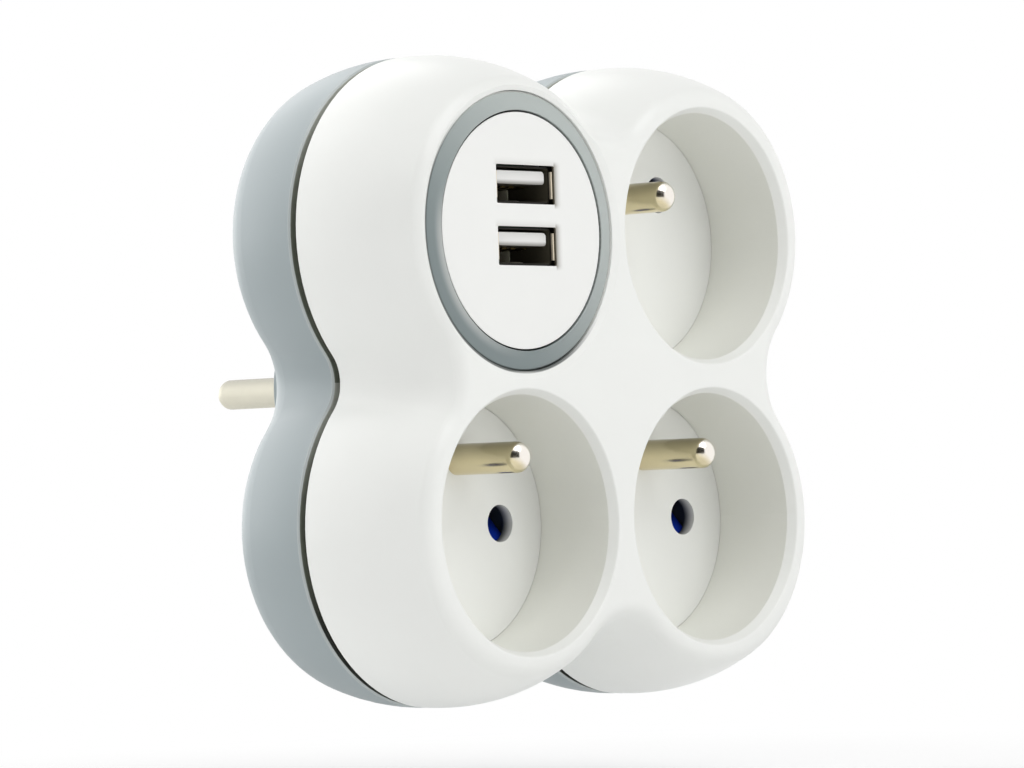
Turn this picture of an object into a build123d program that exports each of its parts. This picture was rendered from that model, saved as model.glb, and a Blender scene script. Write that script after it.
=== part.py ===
from build123d import *
import math
import os

# Plug-in socket adaptor: a clover-shaped block with three earthed outlets and two USB ports,
# carried by a round plug on its back. Every piece is modelled with +Z towards the front and
# Z = 0 on the plug's end face, then turned at export so that the front faces -Y and up is +Z.

# Plug and outlet sizes
PIN_DIA = 4.8
PIN_SPACING = 19.0
PIN_LENGTH = 19.0
PIN_TIP_ROUND = 1.9
EARTH_OFFSET = 10.0
EARTH_LENGTH = 14.0
WELL_DIA = 39.0
WELL_DRAFT = 0.7
WELL_DEPTH = 15.0
LIP_SPREAD = 0.8
LIP_DEPTH = 1.5
LIP_ROUND = 0.4
CONTACT_HOLE_DIA = 5.8

# Clover outline: the land between two wells, the rim round a well and the round of a waist
WELL_BRIDGE = 5.2
LOBE_SPREAD = 0.8
LOBE_RIM = 8.0
WAIST_RADIUS = 6.2

# Depths
PLUG_DEPTH = 16.5
BODY_DEPTH = 41.5
COVER_DEPTH = 21.575
SEAM_GAP = 1.05
WALL = 2.2
FRONT_THICK = 4.0

# Section of the front cover
COVER_STRAIGHT = 2.35
COVER_ARC = 37.0
COVER_LIP_ROUND = 3.0
EDGE_BREAK = 0.3
LAND_MARGIN = 1.0

# Section of the rear housing
REAR_ARC = 40.0
REAR_CORNER = 10.5
TONGUE_CLEAR = 0.25
TONGUE_THICK = 1.4
TONGUE_RISE = 3.75
TONGUE_ROOT = 2.25
TONGUE_RAMP = 1.5

# Case screws
SCREW_INSET = 7.9
SCREW_BOSS_R = 3.2
SCREW_TUBE_R = 4.5
SCREW_HEAD_R = 2.75
SCREW_HEAD_HEIGHT = 1.8
SCREW_SHANK_R = 1.4
SCREW_LENGTH = 19.0
SCREW_CLEAR = 0.25
SCREW_BITE = 0.1
SCREW_SPARE = 2.0
SCREW_HEAD_INSET = 7.5
SCREW_JOINT = 14.5
CROSS_WIDTH = 0.8
CROSS_LENGTH = 3.2
CROSS_DEPTH = 1.1
BOSS_ROOT = 0.5

# Outlet floors and shutters
TUBE_WALL = 1.5
FLOOR_THICK = 2.0
FLOOR_STEP = 1.0
FLOOR_FLANGE = 1.8
FLOOR_CLEAR = 0.08
SKIRT_INSET = 0.2
SKIRT_WALL = 1.5
SKIRT_DEPTH = 9.0
EARTH_TAIL_R = 2.0
TAIL_CLEAR = 0.1
SHUTTER_END_OVERLAP = 0.6
SHUTTER_SIDE_OVERLAP = 0.5
SHUTTER_OPEN_SPARE = 0.6
SHUTTER_WING = 7.5
SHUTTER_SPINE = 2.2
SHUTTER_CREST = 1.0
SHUTTER_LOW_EDGE = 1.2
SHUTTER_CLEAR = 0.3
GUIDE_THICK = 1.2
GUIDE_SPARE = 1.2
GUIDE_TOP = 5.0
STOP_INSET = 4.3
STOP_HALF_WIDTH = 3.0
SPRING_R = 1.9
SPRING_WIRE_R = 0.28
SPRING_WIRE_SIDES = 6
SPRING_TURNS = 5

# Contact carrier and conductors
CARRIER_THICK = 2.0
CARRIER_MARGIN = 0.5
CARRIER_ARM = 13.0
CARRIER_HOLE_R = 3.2
STRIP_THICK = 0.8
STRIP_WIDTH = 6.0
BUS_RISE = 5.9
CLIP_HALF_GAP = 2.1
CLIP_FLARE = 1.3
CLIP_FLARE_RISE = 2.0
CLIP_CLEAR = 0.2
CLIP_WIDTH = 6.0
LINE_RUN = 15.5
NEUTRAL_ELBOW = 6.0
NEUTRAL_DROP = 14.0
NEUTRAL_SIDE_X = 25.0
NEUTRAL_SIDE_Y = 12.0
BYPASS_NEAR_X = -3.0
BYPASS_NEAR_Y = 17.0
BYPASS_FAR_X = 8.0
BYPASS_FAR_Y = 27.0
POST_R = 2.0
POST_INSET = 3.4
POST_ROOT = 1.5

# Plug body and its conductors
PLUG_R = 18.4
PLUG_WALL = 2.2
PLUG_FACE = 2.5
PLUG_CHAMFER = 1.0
SPIGOT_R = 16.85
SPIGOT_WALL = 2.0
SPIGOT_RISE = 4.0
SPIGOT_CLEAR = 0.15
PLUG_EARTH_HOLE_R = 2.7
PIN_NECK_R = 2.0
PIN_HOLE_CLEAR = 0.1
PIN_FLANGE_R = 3.4
PIN_FLANGE_THICK = 2.0
PIN_TAIL_R = 1.6
PIN_TAIL_LENGTH = 2.0
FOOT_INNER = 5.2
FOOT_OUTER = 12.5
SLEEVE_R = 3.6
SLEEVE_BORE_R = 2.5
SLEEVE_LENGTH = 10.5
SLEEVE_GAP = 0.5
SLEEVE_SLIT = 0.8
EARTH_LEG_WIDTH = 5.0
EARTH_PAD_X = 2.0
EARTH_PAD_R = 4.0

# USB charger
RING_SPREAD = 1.7
RING_WIDTH = 2.95
RING_DROP = 0.65
RING_EDGE = 0.25
RING_BORE_EDGE = 0.1
RING_CLEAR = 0.1
OPENING_SPREAD = 1.3
OPENING_FALL = 0.45
USB_SEAT_OUTER = 2.7
USB_SEAT_INNER = 2.3
USB_SEAT_THICK = 2.0
DISC_DROP = 0.25
DISC_CLEAR = 0.3
DISC_FLANGE_CLEAR = 0.2
DISC_FLANGE_THICK = 1.5
PORT_WIDTH = 12.6
PORT_HEIGHT = 5.6
PORT_CLEAR = 0.05
PORT_MOUTH_SIDE = 0.35
PORT_MOUTH_END = 0.15
PORT_WALL = 0.25
PORT_ROUND = 0.7
PORT_OFFSET_X = 1.18
PORT_UPPER_Y = 7.0
PORT_LOWER_Y = -2.35
PORT_RECESS = 0.3
PORT_DEPTH = 13.85
PORT_LIP = 0.4
PORT_LIP_CORNER = 0.25
PORT_POCKET_MARGIN = 1.2
FLAP_LENGTH = 0.5
FLAP_FLARE = 0.15
FLAP_INSET = 0.75
TONGUE_SIDE_GAP = 0.5
TONGUE_HEIGHT = 2.0
TONGUE_ROUND = 0.6
TONGUE_GAP = 0.42
TONGUE_RECESS = 0.85
PORT_BASE = 3.4
PORT_CONTACT_WIDTH = 1.0
PORT_CONTACT_THICK = 0.25
PORT_CONTACT_INNER = 1.0
PORT_CONTACT_OUTER = 3.5
PORT_CONTACT_LENGTH = 7.5
BOARD_INSET = 1.6
BOARD_THICK = 1.6
BOARD_POST_R = 1.4
BOARD_POST_INSET = 0.6
BOARD_PILLAR_INSET = 4.1
BOARD_POST_ANGLES = (90.0, 180.0, 330.0)
BOARD_PILLARS = ((-1, 0), (1, 0), (0, 1))
CORE_LENGTH = 16.0
CORE_WIDTH = 6.0
CORE_HEIGHT = 14.0
BOBBIN_LENGTH = 11.0
BOBBIN_WIDTH = 13.0
BOBBIN_HEIGHT = 11.0
CORE_Y = 3.0
INPUT_CAP_R = 4.0
INPUT_CAP_LENGTH = 14.0
INPUT_CAP_X = -6.0
OUTPUT_CAP_R = 3.2
OUTPUT_CAP_LENGTH = 11.0
OUTPUT_CAP_X = 5.0
CAP_Y = -11.0
CAP_ROUND = 0.6
LEAD_R = 0.8
LEAD_BEND = 2.5
LEAD_DROP = 5.0
LINE_LEAD_X = 7.0
LINE_LEAD_Y = 1.5
LINE_LEAD_END_X = 12.0
LINE_LEAD_END_Y = -10.0
NEUTRAL_LEAD_X = -13.0
NEUTRAL_LEAD_Y = -1.7
NEUTRAL_LEAD_END_X = 0.6
NEUTRAL_LEAD_END_Y = -16.5

# Angles of the plan
QUARTER_ANGLE = 90.0
DIAGONAL_ANGLE = 45.0
UPPER_ANGLE = 52.0

# Levels that follow from the depths
BACK = PLUG_DEPTH
FRONT = PLUG_DEPTH + BODY_DEPTH
COVER_EDGE = FRONT - COVER_DEPTH + SEAM_GAP / 2
HOUSING_EDGE = FRONT - COVER_DEPTH - SEAM_GAP / 2
FRONT_UNDER = FRONT - FRONT_THICK
FLOOR = FRONT - WELL_DEPTH
FLOOR_UNDER = FLOOR - FLOOR_THICK
TUBE_END = FLOOR - FLOOR_STEP
CARRIER_TOP = FLOOR - SKIRT_DEPTH
CARRIER_UNDER = CARRIER_TOP - CARRIER_THICK
EARTH_UNDER = CARRIER_UNDER - STRIP_THICK
BUS_LEVEL = BACK + BUS_RISE
BUS_TOP = BUS_LEVEL + STRIP_THICK
CLIP_TOP = EARTH_UNDER - CLIP_CLEAR
DISC_FACE = FRONT - DISC_DROP
PORT_FACE = DISC_FACE - PORT_RECESS
BOARD_TOP = PORT_FACE - PORT_DEPTH
BOARD_UNDER = BOARD_TOP - BOARD_THICK
LEAD_LEVEL = BOARD_UNDER - LEAD_DROP
USB_SEAT_TOP = FRONT_UNDER
SCREW_SEAT = BACK + SCREW_HEAD_INSET
SCREW_MEET = BACK + SCREW_JOINT

# Plan geometry that follows from the wells and the outline
WELL_FLOOR_DIA = WELL_DIA - WELL_DRAFT
WELL_PITCH = WELL_DIA + WELL_BRIDGE
LIP_R = WELL_DIA / 2 + LIP_SPREAD
LIP_FOOT_R = (WELL_DIA - WELL_DRAFT * LIP_DEPTH / WELL_DEPTH) / 2
LOBE_PITCH = WELL_PITCH + LOBE_SPREAD
LOBE_RADIUS = WELL_DIA / 2 + LOBE_RIM
LOBE = LOBE_PITCH / 2
WELL = WELL_PITCH / 2
WAIST_RISE = math.sqrt((LOBE_RADIUS + WAIST_RADIUS) ** 2 - LOBE**2)
WAIST = LOBE + WAIST_RISE
WAIST_HALF = math.degrees(math.atan2(LOBE, WAIST_RISE))
LOBE_HALF = DIAGONAL_ANGLE + WAIST_HALF
ACROSS = LOBE_PITCH + 2 * LOBE_RADIUS
SCREW_OFFSET = WAIST - WAIST_RADIUS - SCREW_INSET
PIN_R = PIN_DIA / 2
HOLE_R = CONTACT_HOLE_DIA / 2
CONTACT = PIN_SPACING / 2
TUBE_R = WELL_DIA / 2 + TUBE_WALL
SKIRT_R = WELL_DIA / 2 - SKIRT_INSET
STOP_REACH = SKIRT_R - STOP_INSET
CARRIER_R = SKIRT_R + CARRIER_MARGIN
POST_REACH = CARRIER_R - POST_INSET
SHUTTER_HALF_LENGTH = CONTACT + HOLE_R + SHUTTER_END_OVERLAP
SHUTTER_HALF_WIDTH = HOLE_R + SHUTTER_SIDE_OVERLAP
SHUTTER_TRAVEL = CONTACT_HOLE_DIA + SHUTTER_OPEN_SPARE
GUIDE_END = SHUTTER_HALF_WIDTH + SHUTTER_TRAVEL + GUIDE_SPARE
RING_R = WELL_DIA / 2 + RING_SPREAD
RING_BORE_R = RING_R - RING_WIDTH
DISC_R = RING_BORE_R - DISC_CLEAR
DISC_FLANGE_R = RING_R - DISC_FLANGE_CLEAR
USB_OPENING_R = RING_R + RING_CLEAR
USB_SEAT_R = USB_OPENING_R + USB_SEAT_OUTER
USB_SEAT_BORE_R = USB_OPENING_R - USB_SEAT_INNER
TONGUE_WIDTH = PORT_WIDTH - 2 * (PORT_WALL + TONGUE_SIDE_GAP)
FLAP_WIDTH = PORT_HEIGHT - 2 * FLAP_INSET
BOARD_R = WELL - BOARD_INSET
BOARD_POST_REACH = BOARD_R - BOARD_POST_INSET
BOARD_PILLAR_REACH = BOARD_R - BOARD_PILLAR_INSET
QUARTERS = range(4)
SIDES = (-1, 1)

# Outlets: name, side of the block in X and in Y, and how far the outlet is turned
OUTLETS = (
    ("lower_left", -1, -1, 0.0),
    ("lower_right", 1, -1, 0.0),
    ("upper_right", 1, 1, UPPER_ANGLE),
)
USB_X = -WELL
USB_Y = WELL
PORTS = (("upper", PORT_UPPER_Y), ("lower", PORT_LOWER_Y))

BASE = (Align.CENTER, Align.CENTER, Align.MIN)


def rod(radius, low, high, x=0.0, y=0.0):
    """A cylinder along Z between two levels."""
    return Pos(x, y, low) * Cylinder(radius, high - low, align=BASE)


def block(width, depth, low, high, x=0.0, y=0.0):
    """A box between two levels, centred on x and y."""
    return Pos(x, y, low) * Box(width, depth, high - low, align=BASE)


def span(x0, x1, y0, y1, low, high):
    """A box given by its limits in X, Y and Z."""
    return block(x1 - x0, y1 - y0, low, high, (x0 + x1) / 2, (y0 + y1) / 2)


def outlet_place(side_x, side_y, turn):
    """Where an outlet's own frame sits: its centre, with its earth pin along the turned +Y."""
    return Pos(side_x * WELL, side_y * WELL, 0) * Rot(0, 0, turn)


def outlet_point(outlet, u, v):
    """A point of an outlet's own frame, in the block's plan."""
    _, side_x, side_y, turn = outlet
    angle = math.radians(turn)
    x = side_x * WELL + u * math.cos(angle) - v * math.sin(angle)
    y = side_y * WELL + u * math.sin(angle) + v * math.cos(angle)
    return (x, y)


def bend(centre, radius, start, end):
    """An arc in the section plane, from one point to another around a centre, the short way."""
    first = math.atan2(start[1] - centre[1], start[0] - centre[0])
    last = math.atan2(end[1] - centre[1], end[0] - centre[0])
    turn = (last - first + math.pi) % (2 * math.pi) - math.pi
    middle = first + turn / 2
    half = (centre[0] + radius * math.cos(middle), centre[1] + radius * math.sin(middle))
    return ThreePointArc(raised(start), raised(half), raised(end))


def raised(point):
    """A section point (inset from the outline, level) as a point of the XZ plane."""
    return (point[0], 0, point[1])


def run(start, end):
    """A straight edge of a section."""
    return Line(raised(start), raised(end))


def on_arc(centre, radius, level):
    """The outer point of an arc at a level."""
    return (centre[0] - math.sqrt(radius**2 - (level - centre[1]) ** 2), level)


def blend_centre(big_centre, big_radius, small_radius, level):
    """Centre of a corner round that sits at a level, inside a larger arc and tangent to it."""
    reach = big_radius - small_radius
    rise = level - big_centre[1]
    return (big_centre[0] - math.sqrt(reach**2 - rise**2), level)


def blend_point(big_centre, big_radius, small_centre):
    """Where that corner round touches the larger arc."""
    dx = small_centre[0] - big_centre[0]
    dz = small_centre[1] - big_centre[1]
    scale = big_radius / math.hypot(dx, dz)
    return (big_centre[0] + dx * scale, big_centre[1] + dz * scale)


def around(edges):
    """A closed section of insets and levels, carried all round the clover outline."""
    face = make_face(edges)
    lobe_face = Pos(LOBE_RADIUS, 0, 0) * mirror(face, about=Plane.YZ)
    waist_face = Pos(WAIST_RADIUS, 0, 0) * face
    lobe = revolve(lobe_face, axis=Axis.Z, revolution_arc=2 * LOBE_HALF)
    waist = revolve(waist_face, axis=Axis.Z, revolution_arc=2 * WAIST_HALF)
    ring = Part()
    for quarter in QUARTERS:
        turn = Rot(0, 0, QUARTER_ANGLE * quarter)
        ring += turn * Pos(LOBE, LOBE, 0) * Rot(0, 0, DIAGONAL_ANGLE - LOBE_HALF) * lobe
        ring += turn * Pos(WAIST, 0, 0) * Rot(0, 0, 2 * QUARTER_ANGLE - WAIST_HALF) * waist
    return ring


def clover(inset):
    """The clover outline moved inwards, as a face."""
    edges = []
    for quarter in QUARTERS:
        turn = Rot(0, 0, QUARTER_ANGLE * quarter)
        lobe = turn * Pos(LOBE, LOBE, 0)
        waist = turn * Pos(WAIST, 0, 0)
        lobe_start = DIAGONAL_ANGLE - LOBE_HALF
        waist_start = 2 * QUARTER_ANGLE - WAIST_HALF
        outer = CenterArc((0, 0), LOBE_RADIUS - inset, lobe_start, 2 * LOBE_HALF)
        inner = CenterArc((0, 0), WAIST_RADIUS + inset, waist_start, 2 * WAIST_HALF)
        edges.append(lobe * outer)
        edges.append(waist * inner)
    return make_face(edges)


def slab(inset, low, high):
    """The inset clover outline as a plate between two levels."""
    return Pos(0, 0, low) * extrude(clover(inset), amount=high - low)


def screw_places():
    """The four screws, one at each waist."""
    return [Rot(0, 0, QUARTER_ANGLE * quarter) * Pos(SCREW_OFFSET, 0, 0) for quarter in QUARTERS]


def cover_arcs():
    """Centres and touching point of the two arcs in the cover's section."""
    big = (COVER_ARC, COVER_EDGE + COVER_STRAIGHT)
    lip = blend_centre(big, COVER_ARC, COVER_LIP_ROUND, FRONT - COVER_LIP_ROUND)
    return big, lip, blend_point(big, COVER_ARC, lip)


def cover_land():
    """Inset at which the cover's arched side gives way to its flat front."""
    return cover_arcs()[1][0] + LAND_MARGIN


def cover_shell():
    """Side wall of the cover, arched in section, with its rounded front shoulder."""
    big, lip, touch = cover_arcs()
    spring_level = big[1]
    land = cover_land()
    crown = (lip[0], FRONT)
    inner_r = COVER_ARC - WALL
    under = on_arc(big, inner_r, FRONT_UNDER)
    corners = [
        (EDGE_BREAK, COVER_EDGE),
        (0, COVER_EDGE + EDGE_BREAK),
        (0, spring_level),
    ]
    inner = [(WALL, spring_level), (WALL, COVER_EDGE)]
    edges = [
        run(corners[0], corners[1]),
        run(corners[1], corners[2]),
        bend(big, COVER_ARC, corners[2], touch),
        bend(lip, COVER_LIP_ROUND, touch, crown),
        run(crown, (land, FRONT)),
        run((land, FRONT), (land, FRONT_UNDER)),
        run((land, FRONT_UNDER), under),
        bend(big, inner_r, under, inner[0]),
        run(inner[0], inner[1]),
        run(inner[1], corners[0]),
    ]
    return around(edges)


def front_cover():
    """White front half: arched shell, three outlet wells, the USB opening and the screw bosses."""
    cover = cover_shell() + slab(cover_land(), FRONT_UNDER, FRONT)
    for _, side_x, side_y, _ in OUTLETS:
        cover += rod(TUBE_R, TUBE_END, FRONT_UNDER + BOSS_ROOT, side_x * WELL, side_y * WELL)
    cover += rod(USB_SEAT_R, USB_SEAT_TOP - USB_SEAT_THICK, USB_SEAT_TOP, USB_X, USB_Y)
    for place in screw_places():
        cover += place * rod(SCREW_BOSS_R, SCREW_MEET, FRONT_UNDER + BOSS_ROOT)
    for angle in BOARD_POST_ANGLES:
        post = Pos(USB_X, USB_Y, 0) * Rot(0, 0, angle) * Pos(BOARD_POST_REACH, 0, 0)
        cover += post * rod(BOARD_POST_R, BOARD_TOP, USB_SEAT_TOP)
    draft = Cone(WELL_FLOOR_DIA / 2, WELL_DIA / 2, WELL_DEPTH, align=BASE)
    lip = Cone(LIP_FOOT_R, LIP_R, LIP_DEPTH, align=BASE)
    for _, side_x, side_y, _ in OUTLETS:
        cover -= Pos(side_x * WELL, side_y * WELL, FLOOR) * draft
        cover -= Pos(side_x * WELL, side_y * WELL, FRONT - LIP_DEPTH) * lip
        cover -= rod(WELL_FLOOR_DIA / 2, TUBE_END, FLOOR, side_x * WELL, side_y * WELL)
    cover -= rod(USB_OPENING_R, USB_SEAT_TOP, FRONT, USB_X, USB_Y)
    slope = Cone(USB_OPENING_R, USB_OPENING_R + OPENING_SPREAD, OPENING_FALL, align=BASE)
    cover -= Pos(USB_X, USB_Y, FRONT - OPENING_FALL) * slope
    cover -= rod(USB_SEAT_BORE_R, USB_SEAT_TOP - USB_SEAT_THICK, USB_SEAT_TOP, USB_X, USB_Y)
    pilot_top = SCREW_SEAT + SCREW_LENGTH + SCREW_SPARE
    for place in screw_places():
        cover -= place * rod(SCREW_SHANK_R + SCREW_BITE, SCREW_MEET, pilot_top)
    mouths = [
        edge
        for edge in cover.edges().filter_by(GeomType.CIRCLE)
        if abs(edge.radius - LIP_R) < LIP_ROUND and edge.center().Z > FRONT - LIP_ROUND
    ]
    return fillet(mouths, LIP_ROUND)


def rear_arcs():
    """Centres and touching point of the two arcs in the rear housing's section."""
    big = (REAR_ARC, HOUSING_EDGE)
    corner = blend_centre(big, REAR_ARC, REAR_CORNER, BACK + REAR_CORNER)
    return big, corner, blend_point(big, REAR_ARC, corner)


def rear_land():
    """Inset at which the rear housing's round corner gives way to its flat back."""
    return rear_arcs()[1][0] + LAND_MARGIN


def rear_envelope():
    """The whole outer volume of the rear housing, used to trim what stands inside it."""
    big, corner, touch = rear_arcs()
    land = rear_land()
    foot = (corner[0], BACK)
    edges = [
        run((land, HOUSING_EDGE), (0, HOUSING_EDGE)),
        bend(big, REAR_ARC, (0, HOUSING_EDGE), touch),
        bend(corner, REAR_CORNER, touch, foot),
        run(foot, (land, BACK)),
        run((land, BACK), (land, HOUSING_EDGE)),
    ]
    return around(edges) + slab(land, BACK, HOUSING_EDGE)


def rear_shell():
    """Wall of the rear housing with the tongue that stands inside the cover."""
    big, corner, touch = rear_arcs()
    land = rear_land()
    inner_touch = blend_point(big, REAR_ARC - WALL, corner)
    foot = (corner[0], BACK)
    inner_foot = (corner[0], BACK + WALL)
    shoulder = on_arc(big, REAR_ARC, HOUSING_EDGE - EDGE_BREAK)
    rim = (EDGE_BREAK, HOUSING_EDGE)
    outer = WALL + TONGUE_CLEAR
    inner = outer + TONGUE_THICK
    top = HOUSING_EDGE + TONGUE_RISE
    root = HOUSING_EDGE - TONGUE_ROOT
    ramp = on_arc(big, REAR_ARC - WALL, root - TONGUE_RAMP)
    edges = [
        run(rim, shoulder),
        bend(big, REAR_ARC, shoulder, touch),
        bend(corner, REAR_CORNER, touch, foot),
        run(foot, (land, BACK)),
        run((land, BACK), (land, BACK + WALL)),
        run((land, BACK + WALL), inner_foot),
        bend(corner, REAR_CORNER - WALL, inner_foot, inner_touch),
        bend(big, REAR_ARC - WALL, inner_touch, ramp),
        run(ramp, (inner, root)),
        run((inner, root), (inner, top)),
        run((inner, top), (outer, top)),
        run((outer, top), (outer, HOUSING_EDGE)),
        run((outer, HOUSING_EDGE), rim),
    ]
    return around(edges)


def rear_inside():
    """Screw tubes and the posts that carry the busbars, the carrier and the USB board."""
    inside = Part()
    for place in screw_places():
        inside += place * rod(SCREW_TUBE_R, BACK, SCREW_MEET)
    floor = BACK + WALL - POST_ROOT
    for outlet in OUTLETS:
        for side in SIDES:
            x, y = outlet_point(outlet, side * CONTACT, 0)
            inside += rod(POST_R, floor, BUS_LEVEL, x, y)
        x, y = outlet[1] * WELL, outlet[2] * WELL
        inside += rod(POST_R, floor, CARRIER_UNDER, x + outlet[1] * POST_REACH, y)
        inside += rod(POST_R, floor, CARRIER_UNDER, x, y + outlet[2] * POST_REACH)
    for dx, dy in BOARD_PILLARS:
        x, y = USB_X + dx * BOARD_PILLAR_REACH, USB_Y + dy * BOARD_PILLAR_REACH
        inside += rod(POST_R, floor, BOARD_UNDER, x, y)
    return inside


def rear_housing():
    """Grey rear half: curved shell, back plate with the plug's seat, and recessed screw holes."""
    housing = rear_shell() + slab(rear_land(), BACK, BACK + WALL)
    posts = rear_inside()
    lower = posts & rear_envelope()
    upper = posts - block(ACROSS, ACROSS, 0, HOUSING_EDGE)
    housing = housing + lower + upper
    housing -= rod(SPIGOT_R + SPIGOT_CLEAR, BACK, BACK + WALL)
    for place in screw_places():
        housing -= place * rod(SCREW_HEAD_R + SCREW_CLEAR, BACK, SCREW_SEAT)
        housing -= place * rod(SCREW_SHANK_R + SCREW_CLEAR, SCREW_SEAT, SCREW_MEET)
    return housing


def plug_body():
    """Round plug that enters the wall outlet, with its pin holes and earth hole."""
    body = rod(PLUG_R, 0, BACK)
    rim = body.edges().filter_by(GeomType.CIRCLE).sort_by(Axis.Z)[0]
    body = chamfer([rim], PLUG_CHAMFER)
    body += rod(SPIGOT_R, BACK, BACK + SPIGOT_RISE)
    body -= rod(PLUG_R - PLUG_WALL, PLUG_FACE, BACK - PLUG_WALL)
    body -= rod(SPIGOT_R - SPIGOT_WALL, PLUG_FACE, BACK + SPIGOT_RISE)
    for side in SIDES:
        body -= rod(PIN_NECK_R + PIN_HOLE_CLEAR, 0, PLUG_FACE, side * CONTACT, 0)
    body -= rod(PLUG_EARTH_HOLE_R, 0, PLUG_FACE, 0, EARTH_OFFSET)
    return body


def round_pin(length):
    """A pin standing up from Z = 0 with a rounded tip."""
    pin = rod(PIN_R, 0, length)
    tip = pin.edges().filter_by(GeomType.CIRCLE).sort_by(Axis.Z)[-1]
    return fillet([tip], PIN_TIP_ROUND)


def plug_pin(side):
    """A plug pin whose shoulder and flange clamp the plug's face, with a riveted tail inside."""
    blade = Rot(180, 0, 0) * round_pin(PIN_LENGTH)
    shank = rod(PIN_NECK_R, 0, PLUG_FACE)
    flange_top = PLUG_FACE + PIN_FLANGE_THICK
    flange = rod(PIN_FLANGE_R, PLUG_FACE, flange_top)
    tail = rod(PIN_TAIL_R, flange_top, flange_top + PIN_TAIL_LENGTH)
    return Pos(side * CONTACT, 0, 0) * (blade + shank + flange + tail)


def plug_earth_contact():
    """Slit sleeve behind the plug's earth hole, with the leg that rises to the earth strip."""
    low = PLUG_FACE + SLEEVE_GAP
    high = low + SLEEVE_LENGTH
    sleeve = rod(SLEEVE_R, low, high, 0, EARTH_OFFSET)
    sleeve += span(
        SLEEVE_R - STRIP_THICK / 2,
        SLEEVE_R + STRIP_THICK / 2,
        EARTH_OFFSET - EARTH_LEG_WIDTH / 2,
        EARTH_OFFSET + EARTH_LEG_WIDTH / 2,
        low + SLEEVE_LENGTH / 2,
        EARTH_UNDER,
    )
    sleeve -= rod(SLEEVE_BORE_R, low, high, 0, EARTH_OFFSET)
    sleeve -= span(
        -SLEEVE_R,
        0,
        EARTH_OFFSET - SLEEVE_SLIT / 2,
        EARTH_OFFSET + SLEEVE_SLIT / 2,
        low,
        high,
    )
    return sleeve


def socket_floor():
    """Floor of one well, with its contact holes, shutter chamber, guides and spring stop."""
    floor = rod(TUBE_R, TUBE_END - FLOOR_FLANGE, TUBE_END)
    floor += rod(WELL_FLOOR_DIA / 2 - FLOOR_CLEAR, TUBE_END, FLOOR)
    floor += rod(SKIRT_R, CARRIER_TOP, TUBE_END - FLOOR_FLANGE)
    chamber = rod(SKIRT_R - SKIRT_WALL, CARRIER_TOP, FLOOR_UNDER)
    ribs = span(
        -STOP_HALF_WIDTH,
        STOP_HALF_WIDTH,
        -SKIRT_R,
        -STOP_REACH,
        CARRIER_TOP,
        FLOOR_UNDER,
    )
    for side in SIDES:
        near = side * (SHUTTER_HALF_LENGTH + SHUTTER_CLEAR)
        far = near + side * GUIDE_THICK
        ribs += span(min(near, far), max(near, far), -GUIDE_END, GUIDE_TOP, CARRIER_TOP, FLOOR_UNDER)
    floor = floor - chamber + (ribs & chamber)
    for side in SIDES:
        floor -= rod(HOLE_R, FLOOR_UNDER, FLOOR, side * CONTACT, 0)
    floor -= rod(EARTH_TAIL_R + TAIL_CLEAR, FLOOR_UNDER, FLOOR, 0, EARTH_OFFSET)
    return floor


def earth_pin():
    """Earth pin standing in a well, with a thinner tail down to the earth strip."""
    pin = Pos(0, EARTH_OFFSET, FLOOR) * round_pin(EARTH_LENGTH)
    return pin + rod(EARTH_TAIL_R, EARTH_UNDER, FLOOR, 0, EARTH_OFFSET)


def shutter():
    """Sliding shutter: a spine with a ramped wing under each contact hole."""
    low = CARRIER_TOP + SHUTTER_CLEAR
    high = FLOOR_UNDER - SHUTTER_CLEAR
    ramp = Plane.YZ * make_face(
        Polyline(
            (-SHUTTER_HALF_WIDTH, low),
            (SHUTTER_HALF_WIDTH, low),
            (SHUTTER_HALF_WIDTH, low + SHUTTER_LOW_EDGE),
            (SHUTTER_CREST - SHUTTER_HALF_WIDTH, high),
            (-SHUTTER_HALF_WIDTH, high),
            close=True,
        )
    )
    spine_edge = SHUTTER_SPINE - SHUTTER_HALF_WIDTH
    slider = span(
        -SHUTTER_HALF_LENGTH,
        SHUTTER_HALF_LENGTH,
        -SHUTTER_HALF_WIDTH,
        spine_edge,
        low,
        low + SHUTTER_HALF_WIDTH,
    )
    for start in (-SHUTTER_HALF_LENGTH, SHUTTER_HALF_LENGTH - SHUTTER_WING):
        slider += Pos(start, 0, 0) * extrude(ramp, amount=SHUTTER_WING, dir=(1, 0, 0))
    return slider


def shutter_spring():
    """Coil spring between the stop and the shutter's spine, along the slide."""
    length = STOP_REACH - SHUTTER_HALF_WIDTH - 2 * SPRING_WIRE_R
    coil = Helix(pitch=length / SPRING_TURNS, height=length, radius=SPRING_R - SPRING_WIRE_R)
    start = Plane(origin=coil @ 0, z_dir=coil % 0)
    wire = sweep(start * RegularPolygon(SPRING_WIRE_R, SPRING_WIRE_SIDES), path=coil, is_frenet=True)
    level = CARRIER_TOP + SPRING_R + SHUTTER_CLEAR
    return Pos(0, SPRING_WIRE_R - STOP_REACH, level) * Rot(-90, 0, 0) * wire


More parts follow.
